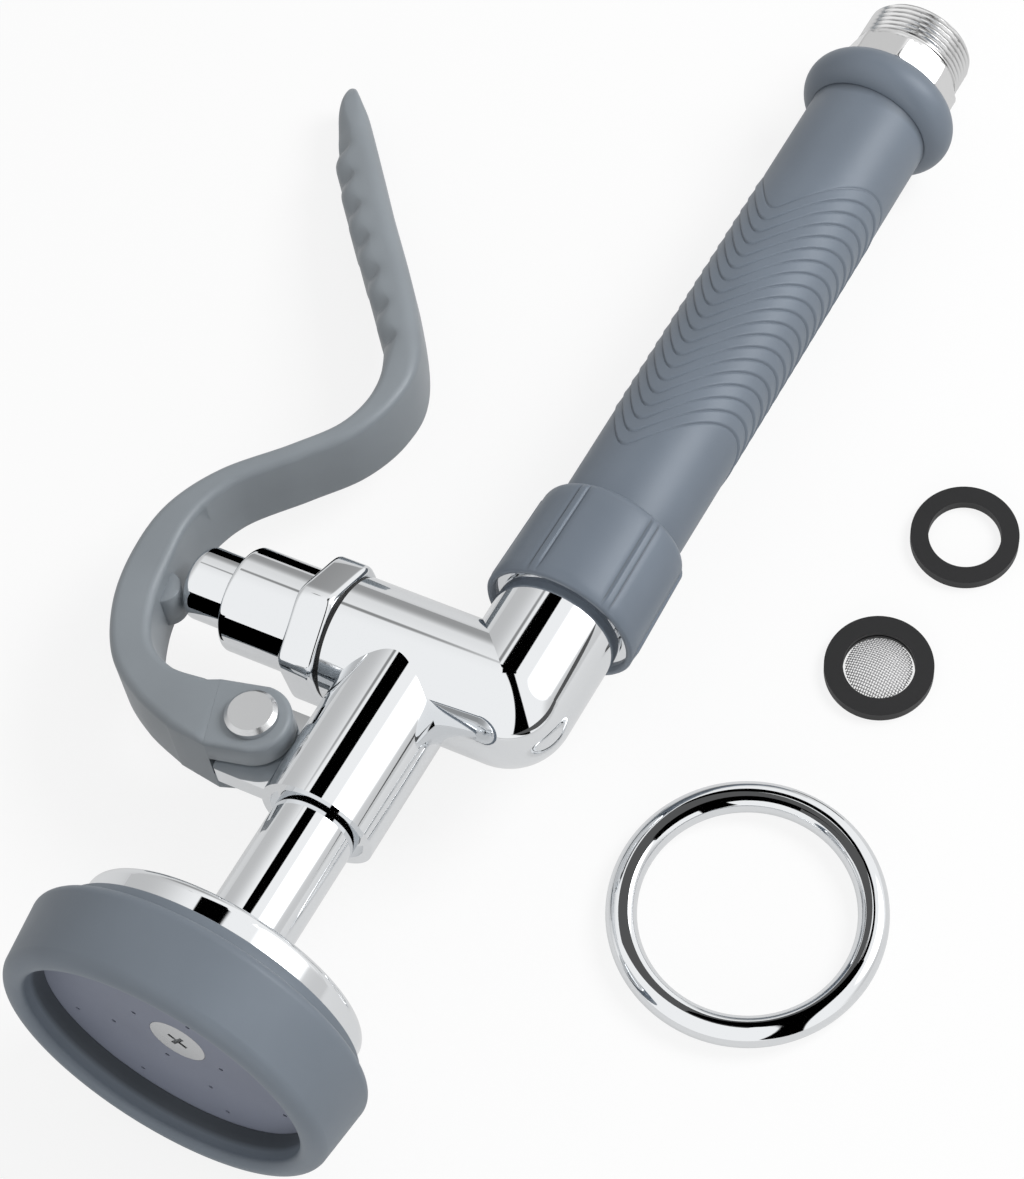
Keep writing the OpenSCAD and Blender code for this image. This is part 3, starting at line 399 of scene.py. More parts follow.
def makeBumper():
    # a closed profile turned about the spray axis: inner wall, inner and outer round of
    # the rim, straight side, round back edge, thin lip and bore
    b = bumper
    (rimX, rimR), (backX, backR), (neckX, neckR) = b["rimAt"], b["backAt"], b["neck"]
    innerX = rimX - b["rimRound"] + b["innerRound"]
    lean = math.degrees(math.atan2(backR + b["backRound"] - rimR - b["rimRound"], backX - rimX))
    turn = 98 + lean * b["leanShare"]  # where the straight side touches both rounds
    gapX, gapR = b["wallGap"]
    profile = np.vstack([
        [[b["face"], b["faceRadius"]], [b["face"] - 0.1, b["faceRadius"] + 0.02]],
        np.linspace(b["wallFrom"], [innerX + gapX, rimR - b["innerRound"] + gapR], 4),
        arc(innerX, rimR, b["innerRound"], 270, 180, 12),
        arc(rimX, rimR, b["rimRound"], 178, turn, 18),
        arc(backX, backR, b["backRound"], turn, 0, 16),
        [[neckX, neckR]],
        arc(neckX + b["neckRound"], neckR, b["neckRound"], 180, 270, 5),
        [[b["end"] - b["lipEdge"], b["lip"]], [b["end"], b["lip"] - b["lipEdge"]],
         [b["end"], b["bore"] + b["boreEdge"]], [b["end"] - b["boreEdge"], b["bore"]],
         [b["face"], b["bore"]]]])
    x, r = evenRows(profile[:, 0], b["around"]), evenRows(profile[:, 1], b["around"])
    piece = meshFromGrid("bumperRing", roundGrid(x, r, 0.0, fullTurn(b["around"])), greyRubber)
    # painted shade: the recess's wall grows darker inwards
    inwards = np.clip((x - b["darkFrom"]) / b["darkOver"], 0, 1)
    setPaintedShadeAndLight(piece, np.where(r < b["darkInside"], inwards * b["wallPaintedShade"], 0))
    sharpen(piece, 50)
    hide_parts("spray_bumper")
    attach(piece, "valve")


bonnet = {"middleX": 112.3, "hexWidth": 31.5, "turn": 24.0, "hexFrom": 18.5, "hexTo": 27.7,
          "round": 1.5, "corner": 15.0, "radius": 12.85, "footRound": 0.5, "end": 46.7,
          "endRound": 1.0, "endEdge": 0.4, "boreEdge": (0.4, 0.3), "pinBore": 8.95,
          "thread": 12.1, "threadFrom": 12.2, "chamber": 10.6, "step": 29.7, "around": 192}


def makeBonnet():
    # a hexagon with soft corners, r = (sum of (cos(a - face) / h)^p)^(-1/p), with rounded
    # edges, and the round barrel above it, turned about the arm's axis
    b = bonnet
    a = fullTurn(b["around"])
    faces = np.radians(b["turn"] + 30 + 60 * np.arange(6))
    lean = np.maximum(np.cos(a[:, None] - faces[None, :]), 0) / (b["hexWidth"] / 2)
    hexR = np.sum(lean ** b["corner"], 1) ** (-1 / b["corner"])
    q = np.radians(np.linspace(0, 90, 7))[:, None]
    edgeUp, edgeIn = b["round"] * (1 - np.cos(q)), b["round"] * (1 - np.sin(q))
    foot, (boreRise, boreRun) = b["footRound"], b["boreEdge"]
    thread = np.array([[b["threadFrom"], b["chamber"]], [b["threadFrom"], b["thread"]],
                       [b["hexFrom"], b["thread"]]])
    barrel = np.vstack([
        [[b["hexTo"], b["radius"] + foot]],
        arc(b["hexTo"] + foot, b["radius"] + foot, foot, 180, 270, 4),
        [[b["hexTo"] + 2 * foot, b["radius"]],
         [b["end"] - b["endRound"] - b["endEdge"], b["radius"]]],
        arc(b["end"] - b["endRound"], b["radius"] - b["endRound"], b["endRound"], 90, 0, 7),
        [[b["end"], b["pinBore"] + boreRise], [b["end"] - boreRun, b["pinBore"]],
         [b["step"], b["pinBore"]], [b["step"], b["chamber"]]]])
    hexagon = evenRows(np.zeros(len(q)), len(a))
    y = np.vstack([evenRows(thread[:, 0], len(a)), b["hexFrom"] + edgeUp + hexagon,
                   b["hexTo"] - edgeUp[::-1] + hexagon, evenRows(barrel[:, 0], len(a))])
    r = np.vstack([evenRows(thread[:, 1], len(a)), hexR - edgeIn, hexR - edgeIn[::-1],
                   evenRows(barrel[:, 1], len(a))])
    grid = np.stack([b["middleX"] + r * np.cos(a), y, -r * np.sin(a)], -1)
    piece = meshFromGrid("bonnetTurned", grid, chrome)
    sharpen(piece, 40)
    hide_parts("bonnet")
    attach(piece, "valve")


makeCollar()
makeBumper()
makeBonnet()
print("collar, bumper and bonnet made")

lever = {"pivot": (80.0, 23.3), "width": 19.6, "eye": 9.0, "lowEye": 7.9, "slotHalf": 3.0,
         "corner": (-10.7, 6.7), "inner": (6.3, 12.2), "startIn": 0.12, "edge": 2.3,
         "fingerEdge": 4.2, "innerShare": 0.9, "eyeEdge": 1.3, "faceInset": 0.25,
         "slotEdge": 0.3, "reach": 178.6, "tipWidth": 13.0, "taper": 40.0, "tipRound": 1.4,
         "tipLeast": 5.0, "tipFrom": 14.0, "tipOver": 8.0, "edgeMost": (0.46, 0.2),
         "tallMost": 0.9, "outerThin": 0.7, "innerThin": 0.6, "gripFrom": 96.0,
         "gripOver": 16.0, "scallopStart": 109.3, "scallopPitch": 8.3, "scallops": 6,
         "scallopHeight": 1.9, "fadeBefore": 3.0, "fadeAfter": 1.2, "lineBite": 0.35,
         "cornerBite": 0.55, "faceBite": 0.2}
crestRise = 46.25
# middle line and thickness of the lever, from the pivot
leverLine = np.array([
    [-2.1, 16.4, 15], [-0.4, crestRise - 19.5, 11],
    [5.5, crestRise - 9.7, 9.8], [17, crestRise - 3, 10.2], [30, crestRise, 10.2],
    [43, crestRise + 0.3, 8.4], [56, crestRise - 4.7, 6], [69, 30.2, 5.2], [80, 21.6, 5.6],
    [92, 18.4, 7.2], [104, 21, 9.4], [120, 33, 11], [140, 50.9, 11.6], [155.9, 64.2, 11.2],
    [166.2, 71.4, 8.6], [170.9, 74.7, 6.4], [175.4, 77.2, 3.0]])


def smoothLine(points, steps):
    # Catmull-Rom: p(t) = (2b + (c-a)t + (2a-5b+4c-d)t^2 + (3b-a-3c+d)t^3) / 2
    padded = np.vstack([points[:1], points, points[-1:]])
    t = (np.arange(steps) / steps)[None, :, None]
    a, b, c, d = padded[:-3, None], padded[1:-2, None], padded[2:-1, None], padded[3:, None]
    curve = (2 * b + (c - a) * t + (2 * a - 5 * b + 4 * c - d) * t ** 2
             + (3 * b - a - 3 * c + d) * t ** 3) / 2
    return np.vstack([curve.reshape(-1, points.shape[1]), points[-1:]])


def leverStations():
    # the smoothed middle line with its thickness, ended by a round tip
    v = lever
    line = smoothLine(leverLine, 24)
    step = line[-1, :2] - line[-2, :2]
    out = v["tipRound"] * np.sin(np.linspace(0.2, math.pi / 2 - 0.12, 7))
    thick = 2 * np.sqrt(np.maximum(0.01, v["tipRound"] ** 2 - out ** 2))
    tip = line[-1, :2] + out[:, None] * step / np.linalg.norm(step)
    return np.vstack([line, np.column_stack([tip, thick])])


def leverBody():
    # a loft between the outer and the inner outline: each station is a rounded rectangle
    # from inner to outer and from -z to z, with its own corner radius on both sides
    v = lever
    line = leverStations()
    heading = np.gradient(line[:, :2], axis=0)
    heading /= np.linalg.norm(heading, axis=1)[:, None]
    normal = np.stack([-heading[:, 1], heading[:, 0]], -1)
    # how deep the finger grips cut: nothing on a crest, all of it between two
    s = (line[:, 0] - v["scallopStart"]) / v["scallopPitch"]
    fade = np.where(s < 0, np.exp(v["fadeBefore"] * np.minimum(s, 0)),
                    np.exp(-v["fadeAfter"] * np.maximum(s - v["scallops"], 0)))
    wave = np.where((s > 0) & (s < v["scallops"]), np.abs(np.sin(np.pi * s)), 0)
    scallop = v["scallopHeight"] * (1 - wave) * fade
    outer = line[:, :2] + normal * (line[:, 2] / 2 - v["lineBite"] * scallop)[:, None]
    inner = line[:, :2] - normal * (line[:, 2] / 2)[:, None]
    # first stations, from the slanting line over the eyes to the first station above
    k = np.array([0.0, 0.012, 0.3, 0.65])[:, None]
    eyeShare = np.concatenate([[1, 1, 0.7, 0.4], np.zeros(len(line))])
    outer = np.vstack([v["corner"] + k * (outer[0] - v["corner"]), outer])
    inner = np.vstack([v["inner"] + k * (inner[0] - v["inner"]), inner])
    cut = np.concatenate([np.zeros(len(k)), scallop])
    # half width: full, then narrowing to a round tip
    x = np.concatenate([np.zeros(len(k)), line[:, 0]])
    start, end = v["reach"] - v["taper"], v["reach"] - v["tipWidth"] / 2
    half, tipHalf = v["width"] / 2, v["tipWidth"] / 2
    lean = half + (tipHalf - half) * (x - start) / (end - start)
    cap = np.sqrt(np.maximum(v["tipLeast"], tipHalf ** 2 - (x - end) ** 2))
    z = np.where(x < start, half, np.where(x < end, lean, cap))
    z[0] -= v["startIn"]
    # corner radii: larger along the finger grips, small at the tip and where the eyes begin
    length = np.linalg.norm(outer - inner, axis=1)
    rise = np.clip((x - v["gripFrom"]) / v["gripOver"], 0, 1)
    more = (v["fingerEdge"] - v["edge"]) * rise * rise * (3 - 2 * rise)
    base = v["edge"] + (v["eyeEdge"] - v["edge"]) * eyeShare
    nearTip = np.clip((x - v["reach"] + v["tipFrom"]) / v["tipOver"], 0, 1)
    share, less = v["edgeMost"]
    most = np.minimum(length * (share - less * nearTip), z * v["tallMost"])
    outerEdge = np.minimum(base + more * (1 - v["outerThin"] * nearTip), most)
    innerEdge = np.minimum(base + v["innerShare"] * more * (1 - v["innerThin"] * nearTip), most)
    q = np.linspace(0, math.pi / 2, 9)
    cos, sin, bite = np.cos(q), np.sin(q), v["cornerBite"] * np.sin(2 * q)
    length, z, cut, outerEdge, innerEdge = [
        values[:, None] for values in (length, z, cut, outerEdge, innerEdge)]
    # the valleys cut deepest at the grips' corners
    away = length - outerEdge + outerEdge * cos - cut * (bite + v["faceBite"] * cos)
    high = z - outerEdge + outerEdge * sin - cut * bite
    nearIn = innerEdge - innerEdge * sin
    highIn = z - innerEdge + innerEdge * cos
    across = np.concatenate([away, nearIn, nearIn[:, ::-1], away[:, ::-1]], 1)
    zz = np.concatenate([high, highIn, -highIn[:, ::-1], -high[:, ::-1]], 1)
    way = (outer - inner) / length
    px = v["pivot"][0] + inner[:, :1] + way[:, :1] * across
    py = v["pivot"][1] + inner[:, 1:] + way[:, 1:] * across
    return meshFromGrid("leverBody", np.stack([px, py, zz], -1)[:, ::-1], greyLever, False)


def leverEye(sign):
    # one fork arm: an outline round the pivot, straight to its front corner and to the
    # slanting line above, with a rounded edge on its outer face
    v = lever
    radius = v["eye"] if sign > 0 else v["lowEye"]
    corner, inner = np.array(v["corner"]), np.array(v["inner"])
    touch = math.atan2(corner[1], corner[0]) + math.acos(radius / np.linalg.norm(corner))
    # from the inner end of the slanting line, clockwise round the eye, to the corner
    turns = np.linspace(2 * np.pi + 0.08, touch, 60)
    eye = radius * np.stack([np.cos(turns), np.sin(turns)], -1)
    k = np.linspace(0, 1, 14)[:, None]
    outline = np.vstack([inner + k[1:-1] * (eye[0] - inner), eye,
                         eye[-1] + k[1:] * (corner - eye[-1]), corner + k[1:] * (inner - corner)])
    ahead = np.roll(outline, -1, 0) - np.roll(outline, 1, 0)
    ahead /= np.linalg.norm(ahead, axis=1)[:, None]
    outward = np.stack([-ahead[:, 1], ahead[:, 0]], -1)
    shutWay = (inner - corner) / np.linalg.norm(inner - corner)
    shutOut = np.array([-shutWay[1], shutWay[0]])

    def ringAt(inset, back=0.0):
        # the outline moved inwards, with its ends sliding along the slanting line
        ring = outline - outward * inset
        first, last = corner + shutWay * inset, inner - shutWay * inset
        ring[-len(k):] = first + k * (last - first) - shutOut * back
        return ring

    bevel, low, top = v["eyeEdge"], v["slotHalf"], v["width"] / 2
    rings = [(ringAt(bevel + v["faceInset"], v["faceInset"]), top)]
    for t in np.linspace(math.pi / 2, 0, 7):
        rings.append((ringAt(bevel * (1 - math.cos(t))), top - bevel * (1 - math.sin(t))))
    rings += [(outline, low + v["slotEdge"]), (outline - outward * v["slotEdge"], low)]
    xy = np.array([ring for ring, _ in rings]) + v["pivot"]
    z = sign * evenRows([height for _, height in rings], len(outline))
    grid = np.concatenate([xy, z[:, :, None]], -1)
    if sign < 0:
        grid = grid[:, ::-1]
    return meshFromGrid("leverEye", grid, greyLever, False)


nub = {"at": (104.8, 64.45), "radius": 4.5, "back": 4.2, "half": 5.0, "edge": 0.3, "shrink": 0.93}


def leverNub():
    # a round-nosed block across the lever: the nose is a half circle
    n = nub
    a = np.linspace(math.pi, 2 * math.pi, 17)
    x = np.concatenate([[-n["radius"]], n["radius"] * np.cos(a), [n["radius"]]])
    y = np.concatenate([[n["back"]], n["radius"] * np.sin(a), [n["back"]]])
    inner = n["half"] - n["edge"]
    z = np.array([-n["half"], -inner, inner, n["half"]])[:, None]
    shrink = np.array([n["shrink"], 1, 1, n["shrink"]])[:, None]
    grid = np.stack([n["at"][0] + shrink * x, n["at"][1] + shrink * y, z + 0 * x], -1)
    return meshFromGrid("leverNub", grid, greyLever, False)


leverPiece = joinPieces("leverCover", [leverBody(), leverEye(1), leverEye(-1), leverNub()])
sharpen(leverPiece, 55)
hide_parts("lever")
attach(leverPiece, "lever")
print("lever made")

hoseEnd = {"middleY": -24.2, "flatsStart": 309.1, "flatsEnd": 316.4, "flatsWidth": 28.4,
           "flatsTurn": 12.0, "coneFrom": 14.35, "coneSlope": 1.6, "neckGap": 0.05,
           "neckRun": 1.3, "neckIn": 0.3, "threadEnd": 327.6, "crest": 14.0, "depth": 0.85,
           "pitch": 1.45, "flank": 2.5, "root": 0.25, "fadeOver": 0.8, "leadOver": 1.2,
           "leadDepth": 1.05, "endDepth": 1.3, "bore": 8.5, "boreEdge": 0.6, "spigot": 9.9,
           "spigotStart": 291.0, "valleyPaintedShade": 0.5, "around": 256, "threadRows": 110}


def makeHoseEnd():
    # an octagon, r = w / 2 / cos(angle folded to 45 degrees), cut by a cone at its ends, and
    # a thread, r = crest - depth * (1 - crestShare), by x / pitch - a / full turn
    h = hoseEnd
    a = fullTurn(h["around"])
    folded = (a - math.radians(h["flatsTurn"])) % (math.pi / 4) - math.pi / 8
    flatsR = h["flatsWidth"] / 2 / np.cos(folded)
    long = h["flatsEnd"] - h["flatsStart"]
    xFlats = np.array([0, 0.2, 0.5, 0.9, 3.5, long - 0.9, long - 0.5, long - 0.2, long])[:, None]
    fromEnd = np.minimum(xFlats, long - xFlats)
    octagon = np.minimum(flatsR, h["coneFrom"] + h["coneSlope"] * fromEnd)
    neckX = h["flatsEnd"] + h["neckGap"]
    threadX = neckX + h["neckRun"]
    xt = np.linspace(threadX, h["threadEnd"] - 0.02, h["threadRows"])[:, None]
    phase = (xt / h["pitch"] - a / (2 * np.pi)) % 1.0
    crestShare = np.clip(np.abs(phase - 0.5) * h["flank"] - h["root"], 0, 1)
    fade = np.clip((xt - threadX) / h["fadeOver"], 0, 1)
    lead = np.clip((h["threadEnd"] - xt) / h["leadOver"], 0, 1)
    threadR = h["crest"] - h["depth"] * (1 - crestShare) * fade
    threadR = np.minimum(threadR, h["crest"] - h["depth"] * h["leadDepth"] * (1 - lead))
    first = [(h["spigotStart"], h["bore"]), (h["spigotStart"], h["spigot"]),
             (h["flatsStart"], h["spigot"])]
    neck = [(neckX, h["crest"] - h["neckIn"]), (threadX, h["crest"] - h["neckIn"])]
    end = [(h["threadEnd"], h["crest"] - h["depth"] * h["endDepth"]),
           (h["threadEnd"], h["bore"] + h["boreEdge"]),
           (h["threadEnd"] - h["boreEdge"], h["bore"])]
    (xFirst, rFirst), (xNeck, rNeck), (xEnd, rEnd) = [
        [evenRows(column, len(a)) for column in zip(*points)] for points in (first, neck, end)]
    x = np.vstack([xFirst, h["flatsStart"] + xFlats + 0 * a, xNeck, xt + 0 * a, xEnd])
    r = np.vstack([rFirst, octagon, rNeck, threadR, rEnd])
    piece = meshFromGrid("hoseThread", roundGrid(x, r, h["middleY"], a), nickel)
    # painted shade: darker in the lower half of the thread's valleys
    inThread = (x > h["flatsEnd"] + 0.3) & (x < h["threadEnd"] - 0.1) & (r > h["bore"] + 2)
    low = np.clip(2 * (h["crest"] - r) / h["depth"] - 1, 0, 1)
    setPaintedShadeAndLight(piece, np.where(inThread, low * h["valleyPaintedShade"], 0))
    sharpen(piece, 28)
    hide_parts("hose_end")
    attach(piece, "valve")


makeHoseEnd()
print("hose end made")

filterMesh = {"at": (172.9, -87.9), "rim": 7.9, "dome": 3.2, "wire": 0.12, "pitch": 0.62,
              "thick": 2.8, "sides": 5}


def makeFilterMesh():
    # each wire is a thin tube on the dome z = base + dome (1 - r^2 / rim^2), and goes
    # over and under its crossings by wire * cos(pi * along / pitch)
    f = filterMesh
    sides = f["sides"]
    count = int(f["rim"] / f["pitch"])
    offsets = np.arange(-count, count + 1) * f["pitch"]
    ring = f["wire"] * np.stack([np.cos(fullTurn(sides)), np.sin(fullTurn(sides))])
    parts, faces, start = [], [], 0
    for axis in (0, 1):
        for n, off in enumerate(offsets):
            half = math.sqrt(max(0.05, f["rim"] ** 2 - off ** 2))
            steps = max(4, int(2 * half / (f["pitch"] / 2)))
            along = np.linspace(-half, half, steps)
            weave = f["wire"] * np.cos(np.pi * along / f["pitch"] + np.pi * (n + axis))
            rise = f["dome"] * (1 - (along ** 2 + off ** 2) / f["rim"] ** 2)
            line = np.stack([along, np.full(steps, off), f["thick"] / 2 + rise + weave], -1)
            tube = line[:, None, :] + np.stack([0 * ring[0], *ring], -1)[None]
            if axis:
                tube = tube[:, :, [1, 0, 2]]
            parts.append(tube.reshape(-1, 3))
            i, j = np.meshgrid(np.arange(steps - 1) * sides, np.arange(sides), indexing="ij")
            jn = (j + 1) % sides
            q = np.stack([i + j, i + jn, i + sides + jn, i + sides + j], -1).reshape(-1, 4)
            faces += (q + start if axis else q[:, ::-1] + start).tolist()
            last = start + (steps - 1) * sides
            ends = [list(range(start, start + sides)), list(range(last, last + sides))]
            faces += [ends[0][::-1], ends[1]] if axis else [ends[0], ends[1][::-1]]
            start += steps * sides
    points = np.vstack(parts)
    points[:, :2] += f["at"] - layAt[:2]
    piece = meshFromFaces("filterWeave", points / 1000, faces, meshSteel, local=False)
    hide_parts("filter_screen")
    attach(piece, "filter")


makeFilterMesh()
print("filter mesh made")

studio = {"floorSize": 6.0, "floorUnder": -0.0002, "floorRough": 0.9, "floorSeen": 0.84,
          "floorInMetal": 0.55, "floorTone": 0.5, "floorWhite": 0.97, "worldStrength": 0.48}


def makeFloor():
    half, z = studio["floorSize"] / 2, studio["floorUnder"]
    corners = np.array([[-half, -half, z], [half, -half, z], [half, half, z], [-half, half, z]])
    # camera rays and glossy rays see a white floor that keeps the shadow, and other rays a
    # greyer one, so that little light bounces up
    material, tree, shader = newMaterial("studioFloor")
    shader.inputs["Roughness"].default_value = studio["floorRough"]
    shader.inputs["Specular IOR Level"].default_value = 0.0
    path = tree.nodes.new("ShaderNodeLightPath")
    glow = tree.nodes.new("ShaderNodeEmission")
    camera = mathNode(tree, "MULTIPLY", path.outputs["Is Camera Ray"], studio["floorSeen"])
    metal = mathNode(tree, "MULTIPLY", path.outputs["Is Glossy Ray"], studio["floorInMetal"])
    share = mathNode(tree, "MAXIMUM", camera, metal)
    tone = mathNode(tree, "MULTIPLY_ADD", path.outputs["Is Camera Ray"],
                    studio["floorWhite"] - studio["floorTone"], studio["floorTone"])
    tree.links.new(tone, shader.inputs["Base Color"])
    surface = mixShaders(tree, share, shader.outputs["BSDF"], glow.outputs["Emission"])
    tree.links.new(surface, tree.nodes["Material Output"].inputs["Surface"])
    floor = meshFromFaces("studioFloor", corners, [[0, 1, 2, 3]], material, local=False)


# greys that polished metal sees, as (azimuth, elevation, half width, soft edge) in degrees
# and tone
skyTones = [
    (68, 0, 32, 26, 0.58), (-72, 0, 12, 16, 0.66), (25, 4, 9, 14, 0.42),
    (47, 44, 1.4, 2.2, 0.3)]
# a black flag above
skyFlag = {"azimuth": 24.0, "elevation": 58.0, "halfWide": 10.6, "halfHigh": 8.0, "edge": 0.5}
# a black band over the top, round the great circle square to "across", from the flag down
# to the other side: |across . k| < wide - slope * k.z, within reach of the middle
skyBand = {"across": (0.709, -0.673, -0.212), "middle": (-0.242, -0.673, 0.70), "wide": 0.235,
           "slope": 0.14, "reach": 57.0, "edge": 0.012}
# a soft bright zone, which rubber shows as a highlight, in the order of skyTones
skyGlow = (-50.0, 34.0, 15.0, 9.0, 4.6)


def direction(azimuth, elevation):
    a, e = math.radians(azimuth), math.radians(elevation)
    return (math.cos(a) * math.cos(e), math.sin(a) * math.cos(e), math.sin(e))


def dotWith(tree, vector, axis):
    node = tree.nodes.new("ShaderNodeVectorMath")
    node.operation = "DOT_PRODUCT"
    tree.links.new(vector, node.inputs[0])
    node.inputs[1].default_value = axis
    return node.outputs["Value"]


def stepBetween(tree, value, low, high, lowTo=0.0, highTo=1.0):
    node = tree.nodes.new("ShaderNodeMapRange")
    node.interpolation_type = "SMOOTHSTEP"
    tree.links.new(value, node.inputs["Value"])
    node.inputs["From Min"].default_value = low
    node.inputs["From Max"].default_value = high
    node.inputs["To Min"].default_value = lowTo
    node.inputs["To Max"].default_value = highTo
    return node.outputs["Result"]


def zoneTone(tree, place, azimuth, elevation, half, edge, tone):
    # 1 outside a round zone of the sky, tone inside it, with a soft edge
    near = dotWith(tree, place, direction(azimuth, elevation))
    return stepBetween(tree, near, math.cos(math.radians(half + edge)),
                       math.cos(math.radians(max(0, half - edge))), 1.0, tone)


def insideFlag(tree, place):
    # |across| < halfWide and |over| < halfHigh round the flag's middle direction
    flag, edge = skyFlag, math.radians(skyFlag["edge"])
    middle = np.array(direction(flag["azimuth"], flag["elevation"]))
    across = np.array(direction(flag["azimuth"] + 90, 0))
    front = mathNode(tree, "GREATER_THAN", dotWith(tree, place, tuple(middle)), 0.5)
    shares = []
    for axis, half in ((across, flag["halfWide"]), (np.cross(middle, across), flag["halfHigh"])):
        away = mathNode(tree, "ABSOLUTE", dotWith(tree, place, tuple(axis)))
        limit = math.sin(math.radians(half))
        shares.append(stepBetween(tree, away, limit - edge, limit + edge, 1.0, 0.0))
    return mathNode(tree, "MULTIPLY", mathNode(tree, "MULTIPLY", *shares), front)


def insideBand(tree, place):
    band = skyBand
    side = dotWith(tree, place, tuple(layOut @ np.array(band["across"])))
    half = mathNode(tree, "MULTIPLY_ADD", dotWith(tree, place, (0, 0, 1)),
                    -band["slope"], band["wide"])
    past = mathNode(tree, "SUBTRACT", mathNode(tree, "ABSOLUTE", side), half)
    within = stepBetween(tree, past, -band["edge"], band["edge"], 1.0, 0.0)
    along = dotWith(tree, place, tuple(layOut @ np.array(band["middle"])))
    limit = math.cos(math.radians(band["reach"]))
    return mathNode(tree, "MULTIPLY", within,
                    stepBetween(tree, along, limit - band["edge"], limit + band["edge"]))


def makeWorld():
    # the world lights as a plain white; camera rays see white, and glossy rays see white
    # with the greys of skyTones, the black of skyFlag and skyBand, and skyGlow
    world = bpy.data.worlds.new("studioWorld")
    bpy.context.scene.world = world
    world.use_nodes = True
    tree = world.node_tree
    tree.nodes.clear()

    def background(colour, strength):
        node = tree.nodes.new("ShaderNodeBackground")
        node.inputs["Color"].default_value = colour
        node.inputs["Strength"].default_value = strength
        return node

    light = background((1, 1, 1, 1), studio["worldStrength"])
    white = background((1, 1, 1, 1), 1.0)
    place = tree.nodes.new("ShaderNodeTexCoord").outputs["Generated"]
    tone = zoneTone(tree, place, *skyTones[0])
    for zone in skyTones[1:]:
        tone = mathNode(tree, "MULTIPLY", tone, zoneTone(tree, place, *zone))
    for inside in (insideFlag(tree, place), insideBand(tree, place)):
        tone = mathNode(tree, "MULTIPLY", tone, mathNode(tree, "SUBTRACT", 1.0, inside))
    tone = mathNode(tree, "MULTIPLY", tone, zoneTone(tree, place, *skyGlow))
    seen = background((1, 1, 1, 1), 1.0)
    tree.links.new(tone, seen.inputs["Color"])
    path = tree.nodes.new("ShaderNodeLightPath")
    bounced = mixShaders(tree, path.outputs["Is Glossy Ray"], light.outputs["Background"],
                         seen.outputs["Background"])
    surface = mixShaders(tree, path.outputs["Is Camera Ray"], bounced,
                         white.outputs["Background"])
    out = tree.nodes.new("ShaderNodeOutputWorld")
    tree.links.new(surface, out.inputs["Surface"])


# small black cards that only polished metal close by sees, by their corners in the valve's
# own axes. reach is how far a card shows, in metres.
bonnetCards = {"tone": 0.0, "reach": 0.03, "corners": [
    [(97, 28, 1.2), (97, 47, 1.2), (97, 47, 8.4), (97, 28, 8.4)],
    [(97, 47, -2.6), (97, 63, -2.6), (97, 63, 9), (97, 47, 9)],
    [(127, 28, 11.4), (127, 49, 11.4), (127, 49, 5.3), (127, 28, 5.3)],
    [(127, 49, 10.3), (127, 65, 10.3), (127, 65, 2), (127, 49, 2)]]}
# the same over the hold-down ring, in the frame's millimetres: middle, half sizes and height
ringCards = [
    {"at": (-51.0, -61.0), "half": (29.0, 29.0), "height": 48.0, "tone": 0.1, "reach": 0.085},
    {"at": (-60.0, -93.0), "half": (16.0, 22.0), "height": 46.0, "tone": 0.0, "reach": 0.085}]


def makeCard(name, corners, tone, reach, local):
    # black or grey from its front, clear from behind and for rays that come from far off
    material = bpy.data.materials.new(name)
    material.use_nodes = True
    tree = material.node_tree
    tree.nodes.clear()
    out = tree.nodes.new("ShaderNodeOutputMaterial")
    dark = tree.nodes.new("ShaderNodeEmission")
    dark.inputs["Color"].default_value = (tone, tone, tone, 1)
    clear = tree.nodes.new("ShaderNodeBsdfTransparent")
    behind = tree.nodes.new("ShaderNodeNewGeometry").outputs["Backfacing"]
    path = tree.nodes.new("ShaderNodeLightPath")
    far = mathNode(tree, "GREATER_THAN", path.outputs["Ray Length"], reach)
    surface = mixShaders(tree, mathNode(tree, "MAXIMUM", behind, far),
                         dark.outputs["Emission"], clear.outputs["BSDF"])
    tree.links.new(surface, out.inputs["Surface"])
    piece = meshFromFaces(name, corners, [[0, 1, 2, 3]], material, local=local)
    for seenBy in ("camera", "diffuse", "shadow", "transmission", "volume_scatter"):
        setattr(piece, "visible_" + seenBy, False)


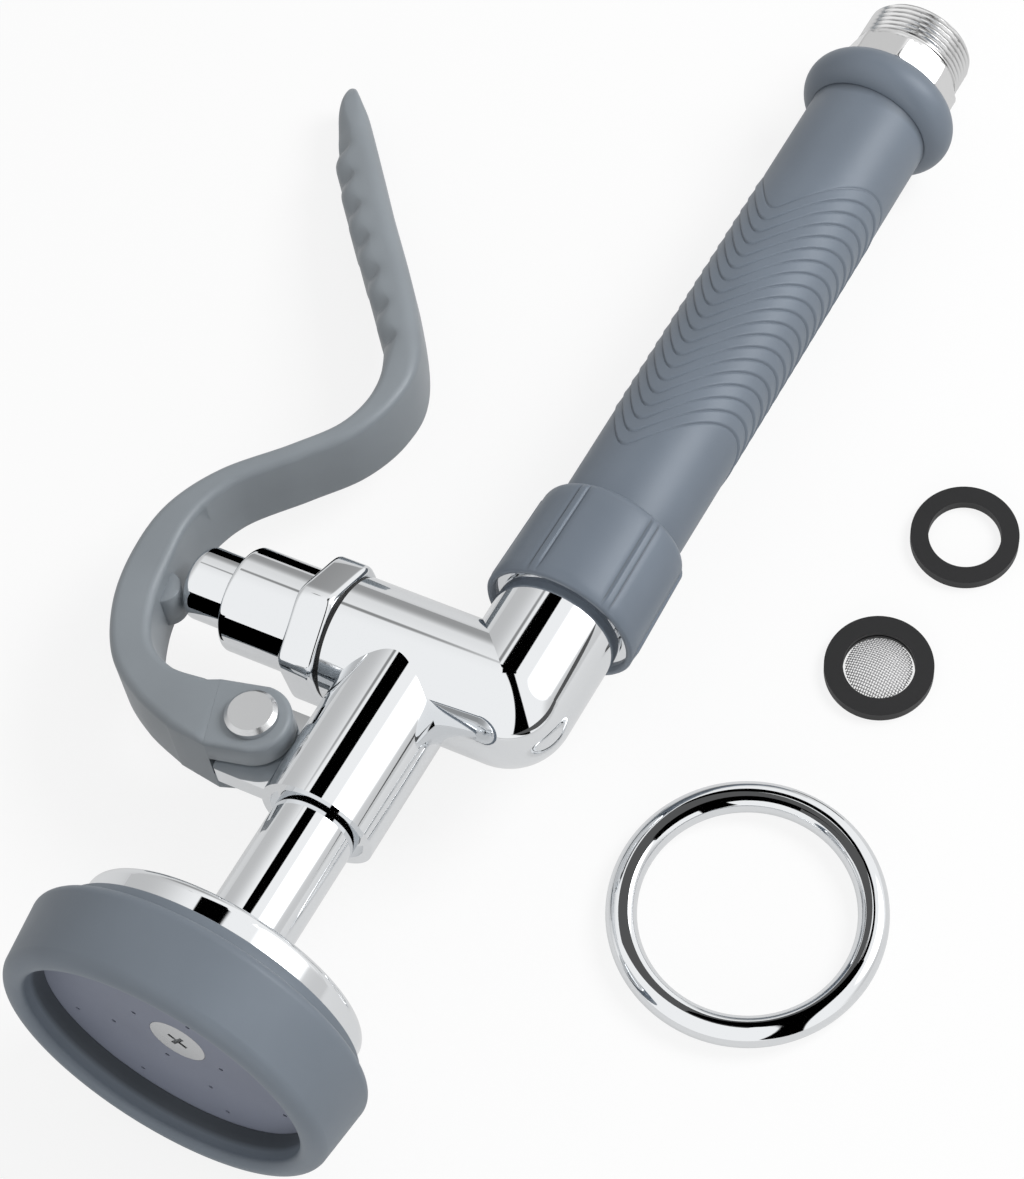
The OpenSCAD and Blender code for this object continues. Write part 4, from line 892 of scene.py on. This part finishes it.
def makeCards():
    for k, corners in enumerate(bonnetCards["corners"]):
        makeCard("blackCard" + str(k + 1), np.array(corners, float), bonnetCards["tone"],
                 bonnetCards["reach"], True)
    for k, card in enumerate(ringCards):
        (x, y), (halfX, halfY), z = card["at"], card["half"], card["height"]
        corners = np.array([(x - halfX, y - halfY, z), (x - halfX, y + halfY, z),
                            (x + halfX, y + halfY, z), (x + halfX, y - halfY, z)]) / 1000
        makeCard("ringCard" + str(k + 1), corners, card["tone"], card["reach"], False)


lamps = [
    {"name": "keyLamp", "power": 5.4, "size": 0.45, "at": (0.45, -0.45, 0.75),
     "towards": (0, 0, 0)},
    {"name": "fillLamp", "power": 1.4, "size": 0.5, "at": (-0.8, -0.3, 0.25),
     "towards": (0, 0, 0.03)}]


def addLamp(name, power, size, at, towards):
    lamp = bpy.data.lights.new(name, "AREA")
    lamp.energy = power
    lamp.size = size
    piece = bpy.data.objects.new(name, lamp)
    bpy.context.scene.collection.objects.link(piece)
    piece.location = at
    piece.rotation_euler = (Vector(towards) - Vector(at)).to_track_quat("-Z", "Y").to_euler()
    piece.visible_glossy = False  # no hard lamp shapes in the chrome


# the camera in the valve's own axes: rows are right, down and forward, focal is the focal
# length in pixels of a frame whose long side has longSide of them
cameraRows = np.array([
    [0.47907, -0.86677, -0.13854],
    [-0.75486, -0.32628, -0.56897],
    [0.44797, 0.37716, -0.81060]])
cameraAt = np.array([-263.29, -348.83, 728.90])
lens = {"sensor": 36.0, "focal": 3897, "longSide": 1179, "clipStart": 0.05, "clipEnd": 20}


def makeCamera():
    data = bpy.data.cameras.new("studioCamera")
    data.sensor_width = lens["sensor"]
    data.lens = lens["sensor"] * lens["focal"] / lens["longSide"]
    data.clip_start, data.clip_end = lens["clipStart"], lens["clipEnd"]
    camera = bpy.data.objects.new("studioCamera", data)
    bpy.context.scene.collection.objects.link(camera)
    right, down, forward = cameraRows @ layOut.T
    turn = Matrix([[right[k], -down[k], -forward[k]] for k in range(3)]).to_4x4()
    camera.matrix_world = Matrix.Translation(Vector(toFrame(cameraAt))) @ turn
    bpy.context.scene.camera = camera


makeCamera()
makeFloor()
makeWorld()
makeCards()
for lamp in lamps:
    addLamp(**lamp)
bpy.context.scene.view_settings.view_transform = "Standard"
print("studio made")
